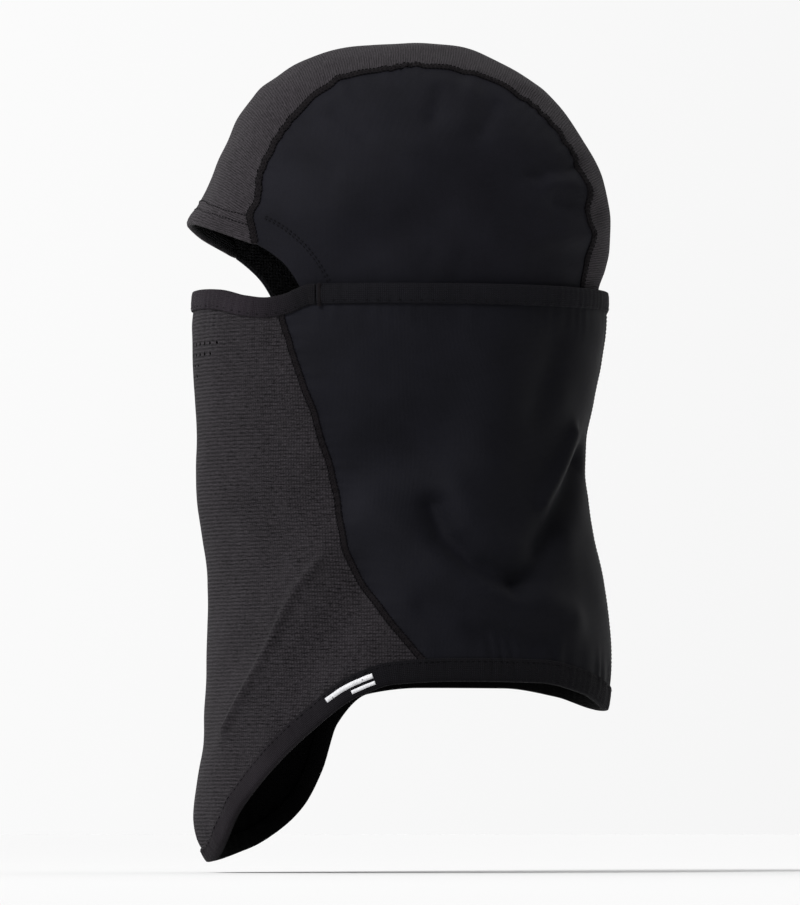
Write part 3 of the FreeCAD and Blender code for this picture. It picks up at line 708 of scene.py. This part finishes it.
def knit(name, dark, light, rib_pitch, grid_pitch, grid, depth, sheen=0.02):
    """A heathered knit: ribs, broken into a grid as far as grid says and mostly away from u = 0."""
    material, tree, shader = new_material(name, light, 0.92, sheen, 0.6)
    vector, u, v = uv_axes(tree)
    # Ribs and columns wander a little, as yarn does.
    wander = scaled(tree, noise_node(tree, vector, 0.20, 2.0, (0.7, 1.3, 1)), 1.1, -0.55)
    jitter = scaled(tree, noise_node(tree, vector, 0.9, 1.0), 0.8, -0.4)
    ribs = rib_wave(tree, math_node(tree, "ADD", v, wander), rib_pitch)
    cross = rib_wave(tree, math_node(tree, "ADD", u, jitter), grid_pitch)
    # The grid comes in patches, and more of it outward.
    patch = noise_node(tree, vector, 0.06, 1.0)
    outward = scaled(tree, math_node(tree, "ABSOLUTE", u), 1 / 60, -0.45)
    share = math_node(tree, "ADD", outward, scaled(tree, patch, 0.9, -0.1), clamp=True)
    gaps = math_node(tree, "MULTIPLY", scaled(tree, cross, -grid, grid), share)
    height = math_node(tree, "MULTIPLY", ribs, scaled(tree, gaps, -1.0, 1.0))
    # The tone follows the height (hollows darker: painted shade), the short yarn flecks, the longer melange
    # and a broad random shift.
    yarn = noise_node(tree, vector, 1.0, 3.0, (0.45, 1.9, 1))
    melange = noise_node(tree, vector, 0.5, 2.0, (0.28, 2.4, 1))
    shade = noise_node(tree, vector, 0.045, 2.0)
    tone = math_node(tree, "ADD", scaled(tree, height, 0.29, -0.41), scaled(tree, yarn, 0.92, 0.0))
    tone = math_node(tree, "ADD", tone, scaled(tree, melange, 0.45, 0.0))
    tone = math_node(tree, "ADD", tone, scaled(tree, shade, 0.16, -0.06))
    tree.links.new(color_ramp(tree, tone, [(0.12, dark), (0.72, light)]), shader.inputs["Base Color"])
    bump(tree, shader, math_node(tree, "ADD", height, scaled(tree, yarn, 0.45, 0.0)), depth)
    return material


def smooth_cloth(name, color, roughness, sheen, grain=0.00006, pitch=0.55, mottle=0.18):
    """A fine woven or brushed face with a little unevenness in its tone."""
    material, tree, shader = new_material(name, color, roughness, sheen)
    vector, u, v = uv_axes(tree)
    broad = scaled(tree, noise_node(tree, vector, 0.035, 3.0), 0.6, 0.0)
    fine = scaled(tree, noise_node(tree, vector, 1.3, 3.0), 0.4, 0.0)
    cloud = math_node(tree, "ADD", broad, fine)
    dark, light = [[c * (1 + side * mottle * 2) for c in color] for side in (-1, 1)]
    tree.links.new(color_ramp(tree, cloud, [(0.25, dark), (0.75, light)]), shader.inputs["Base Color"])
    weave = math_node(tree, "ADD", rib_wave(tree, u, pitch), rib_wave(tree, v, pitch))
    fuzz = noise_node(tree, vector, 1.6, 4.0)
    bump(tree, shader, math_node(tree, "ADD", weave, math_node(tree, "MULTIPLY", fuzz, 1.6)), grain)
    return material


# Dark and light tone, pitch of ribs and of grid, share of the grid, depth, and sheen where it differs.
KNITS = {
    "crown_knit": ((0.0040, 0.0032, 0.0039), (0.0440, 0.0383, 0.0440), 1.25, 1.5, 0.35, 0.00028, 0.045),
    "grid_knit": ((0.0034, 0.0030, 0.0036), (0.0400, 0.0358, 0.0404), 1.8, 1.3, 0.85, 0.00036),
}
# Tone, roughness, sheen, and where they differ the grain, the weave's pitch and the mottle.
CLOTHS = {
    "softshell": ((0.0072, 0.0071, 0.0103), 0.62, 0.01),
    # A darker copy of the softshell for the gaiter's side panels: painted shade.
    "softshell_painted_shade": ((0.0066, 0.0066, 0.0096), 0.62, 0.01),
    "lining": ((0.0014, 0.0014, 0.0016), 0.95, 0.0, 0.00015, 1.1),
    # The hood's inner face, a brushed lining with its tone raised to stand in for light reaching into the
    # face opening: painted light.
    "fleece_painted_light": ((0.040, 0.040, 0.043), 0.95, 0.05, 0.0003, 1.6, 0.25),
    "seam_thread": ((0.0072, 0.0060, 0.0070), 0.75, 0.0, 0.00012, 0.8),
    # Thread for the lines along the seams' sides, darker than the seam's own thread: painted shade at the
    # seam's edges.
    "edge_thread_painted_shade": ((0.0022, 0.0020, 0.0028), 0.8, 0.0, 0.00012, 0.8),
    "stitch_thread": ((0.0036, 0.0033, 0.0042), 0.6, 0.0, 0.00005, 0.3),
    "band_tape": ((0.0062, 0.0060, 0.0080), 0.7, 0.01, 0.00012, 0.9),
    "rim_tape": ((0.018, 0.0145, 0.0185), 0.85, 0.02, 0.00015, 0.9),
    "hem_tape": ((0.0150, 0.0128, 0.0154), 0.8, 0.01, 0.00015, 0.9),
    "elastic": ((0.010, 0.010, 0.011), 0.8, 0.0, 0.0001, 0.8),
    "reflective": ((0.72, 0.72, 0.74), 0.45, 0.0, 0.00001, 0.5),
    "label_satin": ((0.030, 0.030, 0.032), 0.4, 0.1, 0.00002, 0.5),
}
MATERIAL = {name: knit(name, *look) for name, look in KNITS.items()}
MATERIAL.update((name, smooth_cloth(name, *look)) for name, look in CLOTHS.items())


def fade_to(name, middle, start, reach, color, axis=2):
    """Turns a cloth's tone into another colour, away from a place along it (axis 2) or around it (axis 1)."""
    tree = MATERIAL[name].node_tree
    shader = tree.nodes["Principled BSDF"]
    own = shader.inputs["Base Color"].links[0].from_socket
    away = math_node(tree, "ABSOLUTE", scaled(tree, uv_axes(tree)[axis], 1.0, -middle))
    share = math_node(tree, "MULTIPLY", scaled(tree, away, 1.0, -start), 1 / reach, clamp=True)
    mix = tree.nodes.new("ShaderNodeMix")
    mix.data_type = "RGBA"
    tree.links.new(share, mix.inputs[0])
    tree.links.new(own, mix.inputs[6])
    mix.inputs[7].default_value = (*color, 1)
    tree.links.new(mix.outputs[2], shader.inputs["Base Color"])


# The side panels' softshell turns darker still round towards the back: painted shade.
fade_to("softshell_painted_shade", 0.0, 135, 75, (0.0036, 0.0037, 0.0056), 1)
# The hood's panels take the lightened inner face, painted light; the gaiter's panels take the dark lining.
HOOD_CLOTH = {name: [MATERIAL[name], MATERIAL["fleece_painted_light"]] for name in ("crown_knit", "softshell")}
GAITER_CLOTH = {name: [MATERIAL[name], MATERIAL["lining"]] for name in ("grid_knit", "softshell_painted_shade")}

# ---- the hood


def run_along(grid, axis):
    """The distance from the start of a grid of points, down its columns (0) or along its rows (1)."""
    run = np.cumsum(np.linalg.norm(np.diff(grid, axis=axis), axis=-1), axis=axis)
    return np.concatenate([0 * run.take([0], axis), run], axis=axis)


def metric_uv(base, form):
    """Millimetres along a grid of points, from the middle of each row and from the first row."""
    lifted = form.lift(base, 0.0)
    u, v = run_along(lifted, 1), run_along(lifted, 0)
    u = u - u[:, base.shape[1] // 2][:, None]
    v = v.mean(axis=1)[:, None] + 0 * u
    return np.stack([u, v], axis=-1)


def turned_in(distance, depth):
    """1 where cloth is turned in double, falling to 0 over the last millimetre of the hem's depth."""
    return fade(depth - distance, 1.2)


def sheet(obj):
    return obj


def crown_panel():
    edge = HOOD.beside(crown_seam(-1, 190), HALF_GAP)
    shares = np.linspace(-1, 1, 57)
    start = brow_turn(np.abs(shares)) - brow_turn(1.0)
    end = nape_turn(np.abs(shares)) - nape_turn(1.0)
    t = np.linspace(0, 1, len(edge))[:, None]
    base = HOOD.fan(fan_of(edge)[:, None] + start * (1 - t) + end * t, shares * -edge[:, 1:2])
    hem = turned_in(run_along(base, 0), BROW_HEM)
    obj = cloth("crown_panel.cloth", HOOD, base, metric_uv(base, HOOD), HOOD_CLOTH["crown_knit"], hem)
    return sheet(belongs(obj, "crown_panel"))


def even_side_view(path, count):
    flat = path[:, [0, 2]]
    s = lengths(flat)
    at = np.linspace(0, s[-1], count)
    return np.stack([np.interp(at, s, flat[:, k]) for k in (0, 1)], axis=-1)


def hood_side(left):
    """A side of the hood, between the seam over it, the seam behind it, the face edge and the skirt."""
    sign = -1 if left else 1
    seam = HOOD.beside(crown_seam(sign, 201), sign * HALF_GAP)
    split = int(len(seam) * 0.52)
    face = face_path(left, 81)
    face[0] = seam[0]
    bottom_x = np.linspace(face[-1, 0], seam[-1, 0], 30)
    bottom = HOOD.side(bottom_x, np.full(30, SKIRT), left)
    seam[-1] = bottom[-1]
    across, down = 96, 84
    top, low = even_side_view(seam[: split + 1], across)[None], even_side_view(bottom, across)[None]
    front, back = even_side_view(face, down)[:, None], even_side_view(seam[split:], down)[:, None]
    u, v = np.linspace(0, 1, across)[None, :, None], np.linspace(0, 1, down)[:, None, None]
    high_corners = (1 - u) * top[:, :1] + u * top[:, -1:]
    low_corners = (1 - u) * low[:, :1] + u * low[:, -1:]
    flat = (1 - v) * top + v * low + (1 - u) * front + u * back
    flat = flat - (1 - v) * high_corners - v * low_corners
    base = HOOD.side(flat[..., 0], flat[..., 1], left)
    hem = 0.6 * turned_in(run_along(base, 1), FACE_HEM)
    name = f"hood_side_{'left' if left else 'right'}"
    obj = cloth(f"{name}.cloth", HOOD, base, flat, HOOD_CLOTH["softshell"], hem)
    return sheet(belongs(obj, name))


# ---- the gaiter


def gaiter_grid(turn_at, shares, rows, tuck_top=4.6, tuck_hem=3.0):
    """Columns of points from the top edge down to the hem, each tucked a little into its binding."""
    top = top_points(turn_at(shares, -5.0), tuck_top)[..., 2]

    def under(z):
        """True while a column is still under the cloth's lower edge."""
        turn = turn_at(shares, z)
        here, a, b = (GAITER.girth(turn + step, z) for step in (0.0, -0.5, 0.5))
        run = np.hypot(a[..., 0] - b[..., 0], a[..., 1] - b[..., 1])
        slope = (hem_height(turn, a) - hem_height(turn, b)) / run
        return z < hem_height(turn, here) + tuck_hem * np.sqrt(1 + slope ** 2)

    bottom = bisect(np.full(len(shares), LOWEST), np.full(len(shares), -120.0), under)
    t = np.linspace(0, 1, rows)[:, None]
    z = top[None] * (1 - t) + bottom[None] * t
    turn = turn_at(shares[None], z)
    return GAITER.girth(turn, z), turn, z


def gaiter_uv(turn, z):
    """Millimetres round and up the unrolled gaiter, the same for every panel."""
    return np.stack([turn * MEAN_RUN, z + 0 * turn], axis=-1)


def front_panel():
    base, turn, z = gaiter_grid(lambda share, z: share * AHEAD_TURN(z), np.linspace(-1, 1, 171), 150)
    obj = cloth("front_panel.cloth", GAITER, base, gaiter_uv(turn, z), GAITER_CLOTH["grid_knit"])
    pierce(obj)
    return sheet(belongs(obj, "front_panel", "stretch"))


def hole_pins():
    """Pins through the front panel, in rows over the mouth."""
    sides = 12
    angle = np.arange(sides) * 2 * math.pi / sides
    verts = []
    for row, count in enumerate(HOLE_ROWS):
        turn = (np.arange(count) - (count - 1) / 2) * math.degrees(HOLE_PITCH / MOUTH_RADIUS)
        centres = GAITER.girth(turn, np.full(count, HOLE_TOP - HOLE_DROP * row))
        for p, n in zip(centres, GAITER.normal(centres)):
            a = unit(np.cross(n, (0, 0, 1)))
            b = np.cross(n, a)
            ring = HOLE_RADIUS * (np.outer(np.cos(angle), a) + np.outer(np.sin(angle), b))
            verts += [p + n * reach + ring for reach in (-9, 7)]
    verts, faces = np.concatenate(verts), rods(sum(HOLE_ROWS), 2, sides)
    pins = make_mesh("pins", verts, faces, np.zeros((len(verts), 2)), [MATERIAL["lining"]], smooth=False)
    fix_normals(pins)
    return pins


def pierce(obj):
    """Punches the breathing holes."""
    pins = hole_pins()
    modifier = obj.modifiers.new("holes", "BOOLEAN")
    modifier.object, modifier.operation, modifier.solver = pins, "DIFFERENCE", "EXACT"
    graph = bpy.context.evaluated_depsgraph_get()
    pierced = bpy.data.meshes.new_from_object(obj.evaluated_get(graph))
    obj.modifiers.clear()
    old, obj.data = obj.data, pierced
    bpy.data.meshes.remove(old)
    bpy.data.objects.remove(pins)


def side_panel(side):
    sign = 1 if side == "left" else -1
    back = 180 - HALF_GAP / BACK_RUN

    def turn_at(share, z):
        front = BEHIND_TURN(z)
        return sign * (front + share * (back - front))

    base, turn, z = gaiter_grid(turn_at, np.linspace(0, 1, 131), 120)
    uv = gaiter_uv(turn, z)
    obj = cloth(f"side_panel_{side}.cloth", GAITER, base, uv, GAITER_CLOTH["softshell_painted_shade"])
    return sheet(belongs(obj, f"side_panel_{side}", "stretch"))


def seam_line(side, count):
    sign = 1 if side == "left" else -1
    z_top = top_points(SEAM_TURN(-14.0), SEAM_TOP)[..., 2]
    line = LINE["hem_near" if sign > 0 else "hem_far"]
    z = np.linspace(z_top, -210, 600)
    z = z[z > line(LINE["front_seam"](z)) + SEAM_END]
    z = np.linspace(z_top, z[-1], count)
    return GAITER.girth(sign * SEAM_TURN(z), z)


def wandering(form, path, reach, seed):
    """A path that wanders a little from side to side, as a sewn line does."""
    s = lengths(path)
    ends = fade(s, 12) * fade(s[-1] - s, 12)
    short = 0.5 * np.sin(s / 5.3 + seed) + 0.55 * np.sin(s / 3.1 + 2 * seed + np.sin(s / 17))
    side = short + 0.3 * np.sin(s / 11.0)
    return form.beside(path, (reach * ends * side)[:, None])


def flatlock(name, form, path, moves, width, groove):
    """A flatlock seam: a low bed of thread, slanted stitches across it, and along each side a line painted
    dark as painted shade.
    """
    half, low, hidden = width / 2, -FABRIC + 0.3, -FABRIC - 0.25
    face = [(-0.85, 0.34), (-0.5, 0.52), (0.0, 0.52 - groove), (0.5, 0.52), (0.85, 0.34)]
    profile = [(-half, low), (-half, 0.05), *((half * d, h) for d, h in face), (half, 0.05), (half, low),
               (half, hidden), (-half, hidden)]
    bed = tape(name + ".bed", form, path, profile, MATERIAL["seam_thread"], gathers(0.05, 4.0))
    rows = [stitch_row(form, path, side * half * 0.82, 0.42, 1.9, side * 20) for side in (-1, 1)]
    # The side lines take the darkened thread: painted shade at the seam's edges.
    edges = stitch_mesh(name + ".edges", *joined(rows), 2.1, 0.62, MATERIAL["edge_thread_painted_shade"])
    rows = [stitch_row(form, path, 0.0, 0.60 - groove, 2.1, slant) for slant in (52, -52)]
    threads = stitch_mesh(name + ".threads", *joined(rows), width * 0.62, 0.46, MATERIAL["seam_thread"])
    for obj in (bed, edges, threads):
        belongs(obj, name, moves)


def cover_stitch(name, form, path, lanes, height, moves, pitch=2.7, size=2.1, thick=0.42):
    rows = [stitch_row(form, path, lane, height, pitch) for lane in lanes]
    obj = stitch_mesh(name + ".threads", *joined(rows), size, thick, MATERIAL["stitch_thread"])
    return belongs(obj, name, moves)


def binding_profile(depth, side, plump=0.35):
    """A folded tape: its face, rolled edge, lining leg and hidden inside."""
    out, back = TAPE + 0.2, -FABRIC - TAPE - 0.2
    middle, radius = (out + back) / 2, (out - back) / 2
    angles = np.linspace(0.25, math.pi - 0.25, 7)
    face = [(depth, 0.15), (depth - 0.15, out * 0.75), (depth - 0.9, out), (depth * 0.6, out + plump),
            (depth * 0.25, out + plump * 0.8)]
    roll = [(0.9 - 0.9 * math.sin(a), middle + radius * math.cos(a)) for a in angles]
    lining = [(depth * 0.3, back), (depth - 1, back), (depth - 1, back + TAPE), (1.3, back + TAPE),
              (1.3, 0.15)]
    return [(side * d, h) for d, h in face + roll + lining]


def gathers(amplitude, seed):
    """Small uneven puckers along an elastic edge."""
    def wave(along):
        steps = along / 4.3 + 0.8 * np.sin(along / 23.0 + seed)
        return amplitude * (np.sin(steps * 2 * math.pi) + 0.5 * np.sin(steps * 1.31 * math.pi + seed))
    return wave


def elastic_binding(name, path, material, moves):
    """A folded tape with an elastic strip inside it and one row of stitches."""
    profile = binding_profile(10.0, -1)
    obj = tape(f"{name}_binding.tape", GAITER, path, profile, MATERIAL[material], gathers(0.09, 1.0))
    belongs(obj, f"{name}_binding", moves)
    strip = [(-4.4, -0.2), (-1.6, -0.2), (-1.6, -1.5), (-4.4, -1.5)]
    obj = tape(f"{name}_elastic.strip", GAITER, path, strip, MATERIAL["elastic"])
    belongs(obj, f"{name}_elastic", moves)
    cover_stitch(f"{name}_stitch", GAITER, path[6:-6], (-8.4,), 1.28, moves, 5.2, 1.5, 0.5)


def top_bindings():
    """The mask rim's binding and the collar band's, which meet at the tacks."""
    x = np.array([TACK_X - TACK_GAP, TACK_X])
    rim_end, band_end = GAITER.turn_of(GAITER.side(x, LINE["top_edge"](x), True))
    rim = top_points(np.linspace(-rim_end, rim_end, 260))
    band = top_points(np.linspace(band_end, 360 - band_end, 420))
    half = lengths(rim)[-1] / 2
    fade_to("rim_tape", half, half - 38, 26, (0.0062, 0.0058, 0.0072))
    elastic_binding("mask_rim", rim, "rim_tape", "stretch")
    elastic_binding("collar_band", band, "band_tape", "root")


def hem_binding():
    """The hem's binding, which is narrower round the bib's tip, darker towards the back, and darkest on its
    lining side, which is painted shade.
    """
    turns = np.linspace(-179.8, 179.8, 900)
    hem = hem_points(turns)
    narrow = 1 - 0.20 * np.exp(-((turns / 62) ** 2)) - 0.22 * np.exp(-((turns / 20) ** 2))
    fade_to("hem_tape", lengths(hem)[-1] / 2, 82, 70, (0.0052, 0.0049, 0.0062))
    # The tape's lining side is painted near-black: painted shade inside the hem.
    fade_to("hem_tape", 0.0, 13.5, 2.0, (0.0011, 0.0011, 0.0013), 1)
    profile = binding_profile(11.5, 1, 0.3)
    obj = tape("hem_binding.tape", GAITER, hem, profile, MATERIAL["hem_tape"], gathers(0.09, 2.0), narrow)
    belongs(obj, "hem_binding")
    lane = GAITER.beside(hem, (9.9 * narrow)[:, None])
    cover_stitch("hem_stitch", GAITER, lane, (0.0,), 1.3, "root", 2.9, 2.0, 0.38)


def transfer_mark():
    """Two plain bars on the hem's binding."""
    place, reach = 71.0, math.degrees(22.0 / 100.0)
    out = TAPE + 0.2 + 0.42
    bars = (2.2, 4.0, -0.02, 0.5), (5.4, 7.8, -0.5, 0.5)
    for index, (low, high, start, end) in enumerate(bars):
        path = hem_points(place + reach * np.linspace(start, end, 40))
        profile = [(low, out - 0.2), (low, out), (high, out), (high, out - 0.2)]
        obj = tape(f"transfer_mark.bar_{index}", GAITER, path, profile, MATERIAL["reflective"])
        belongs(obj, "transfer_mark")


def side_tacks():
    """A ladder of stitches at each hinge point, each leaning the other way from the last."""
    for side in ("left", "right"):
        z = np.arange(-1.9, -12.4, -0.55)
        base = GAITER.side(np.full(len(z), TACK_X + 1.5), z, side == "left")
        up = GAITER.normal(base)
        lean = np.array([0, 0, 0.12]) * np.where(np.arange(len(z)) % 2, 1, -1)[:, None]
        along = unit(unit(np.cross(up, (0, 0, 1))) + lean)
        name, thread = f"side_tack_{side}", MATERIAL["seam_thread"]
        obj = stitch_mesh(name + ".threads", base + up * 1.5, along, up, 2.3, 0.62, thread)
        belongs(obj, name)


def care_label():
    """A blank folded satin label hanging inside at the nape."""
    rows, cols, top, length = 30, 13, -14, 30
    down = np.linspace(0, length, rows)
    x = 91.2 - down * 0.06 - 1.6 * np.sin(down / length * math.pi) ** 2
    y = np.linspace(-12, 12, cols)
    front = points(x[:, None] - 0.004 * y[None] ** 2, y[None], top - down[:, None])
    back = front + np.array([0.35, 0, 0])
    verts = np.concatenate([front.reshape(-1, 3), back.reshape(-1, 3)])
    size = rows * cols
    faces = [*grid_faces(rows, cols).tolist(), *grid_faces(rows, cols, size, flip=True).tolist()]
    i, j = border(rows, cols)
    ring = (i * cols + j).tolist()
    faces += [[a, b, b + size, a + size] for a, b in zip(ring, ring[1:] + ring[:1])]
    obj = make_mesh("care_label.satin", verts, faces, verts[:, 1:], [MATERIAL["label_satin"]])
    fix_normals(obj)
    sheet(belongs(obj, "care_label"))


def hood_trims():
    for side, sign in (("left", -1), ("right", 1)):
        seam = wandering(HOOD, crown_seam(sign, 300), 1.0, sign + 2.0)
        flatlock(f"crown_seam_{side}", HOOD, seam, "root", 4.4, 0.0)
        face = face_path(side == "left", 120)
        path = HOOD.beside(face, -sign * 12.8)
        path = path[(np.abs(path[:, 1]) > 53.5) & (path[:, 2] > -6)]
        cover_stitch(f"face_hem_stitch_{side}", HOOD, path, (0.0, -sign * 1.3), 0.30, "root", 2.4, 1.7)
    share = np.linspace(-0.96, 0.96, 120)
    brow = HOOD.fan(brow_turn(np.abs(share)), share * 50)
    cover_stitch("brow_hem_stitch", HOOD, brow, (-6.9, -11.6), 0.22, "root", 2.1, 1.75, 0.5)
    turn = np.linspace(62, 298, 240)
    join = HOOD.girth(np.where(turn > 180, turn - 360, turn), np.full(240, -9.0))
    cover_stitch("hood_join_stitch", HOOD, join, (0.0,), -FABRIC - 0.1, "root")


# ---- build


def build():
    crown_panel()
    hood_side(True)
    hood_side(False)
    hood_trims()
    front_panel()
    for side in ("left", "right"):
        side_panel(side)
        seam = wandering(GAITER, seam_line(side, 300), 0.3, 5.0)
        flatlock(f"front_seam_{side}", GAITER, seam, "stretch", 3.2, 0.30)
    back = np.array(180.0)
    z = np.linspace(top_points(back, SEAM_TOP)[..., 2], hem_points(back)[..., 2] + SEAM_END, 200)
    flatlock("back_seam", GAITER, GAITER.girth(np.full(200, 180.0), z), "root", 3.2, 0.30)
    top_bindings()
    hem_binding()
    transfer_mark()
    side_tacks()
    care_label()


# ---- studio


def aimed(direction):
    """The rotation of a light or camera that looks along a direction."""
    return Vector(direction).to_track_quat("-Z", "Y").to_euler()


def floor():
    """A plain pale floor a little under the bib."""
    corners = (-1, -1), (1, -1), (1, 1), (-1, 1)
    reach, height = 30, -0.284
    mesh = bpy.data.meshes.new("floor")
    mesh.from_pydata([(reach * x, reach * y, height) for x, y in corners], [], [(0, 1, 2, 3)])
    mesh.materials.append(new_material("floor", (0.82, 0.82, 0.82), 1.0, 0.0, specular=0.0)[0])
    add_object("floor", mesh)


def world():
    """A white surround, brighter in front, on the wearer's right and above."""
    surround = bpy.data.worlds.new("studio")
    surround.use_nodes = True
    tree = surround.node_tree
    direction = tree.nodes.new("ShaderNodeTexCoord")
    axes = tree.nodes.new("ShaderNodeSeparateXYZ")
    tree.links.new(direction.outputs["Generated"], axes.inputs[0])
    x, y, z = axes.outputs
    level = math_node(tree, "ADD", scaled(tree, x, -0.33, 0.55), scaled(tree, y, 0.43, 0))
    level = math_node(tree, "ADD", level, scaled(tree, z, 0.14, 0))
    background = tree.nodes["Background"]
    tree.links.new(level, background.inputs[1])
    background.inputs[0].default_value = (1, 1, 1, 1)
    bpy.context.scene.world = surround


def key_sun():
    data = bpy.data.lights.new("key", "SUN")
    data.energy, data.angle = 2.3, math.radians(22)
    add_object("key", data).rotation_euler = aimed((0.62, 0.58, -0.82))


def front_light():
    """A soft light in front of the face."""
    place, target = Vector((-2.2, -0.5, 0.3)), Vector((0, 0, -0.06))
    data = bpy.data.lights.new("left", "AREA")
    data.shape, data.size, data.size_y, data.energy = "RECTANGLE", 1.0, 1.6, 7
    obj = add_object("left", data)
    obj.location, obj.rotation_euler = place, aimed(target - place)


def camera():
    """Looks at the wearer's left side, from a little in front of it and a little below."""
    turn, tilt, distance = math.radians(-7.0), math.radians(-2.5), 4.2
    sensor, picture_width = 36, 0.4409
    target = Vector((0, 0, -0.0796))
    back = Vector((math.sin(turn) * math.cos(tilt), -math.cos(turn) * math.cos(tilt), math.sin(tilt)))
    data = bpy.data.cameras.new("camera")
    data.sensor_width, data.lens = sensor, sensor * distance / picture_width
    obj = add_object("camera", data)
    obj.location, obj.rotation_euler = target + back * distance, aimed(-back)
    bpy.context.scene.camera = obj


build()
floor()
world()
key_sun()
front_light()
camera()
bpy.context.scene.view_settings.view_transform = "Standard"
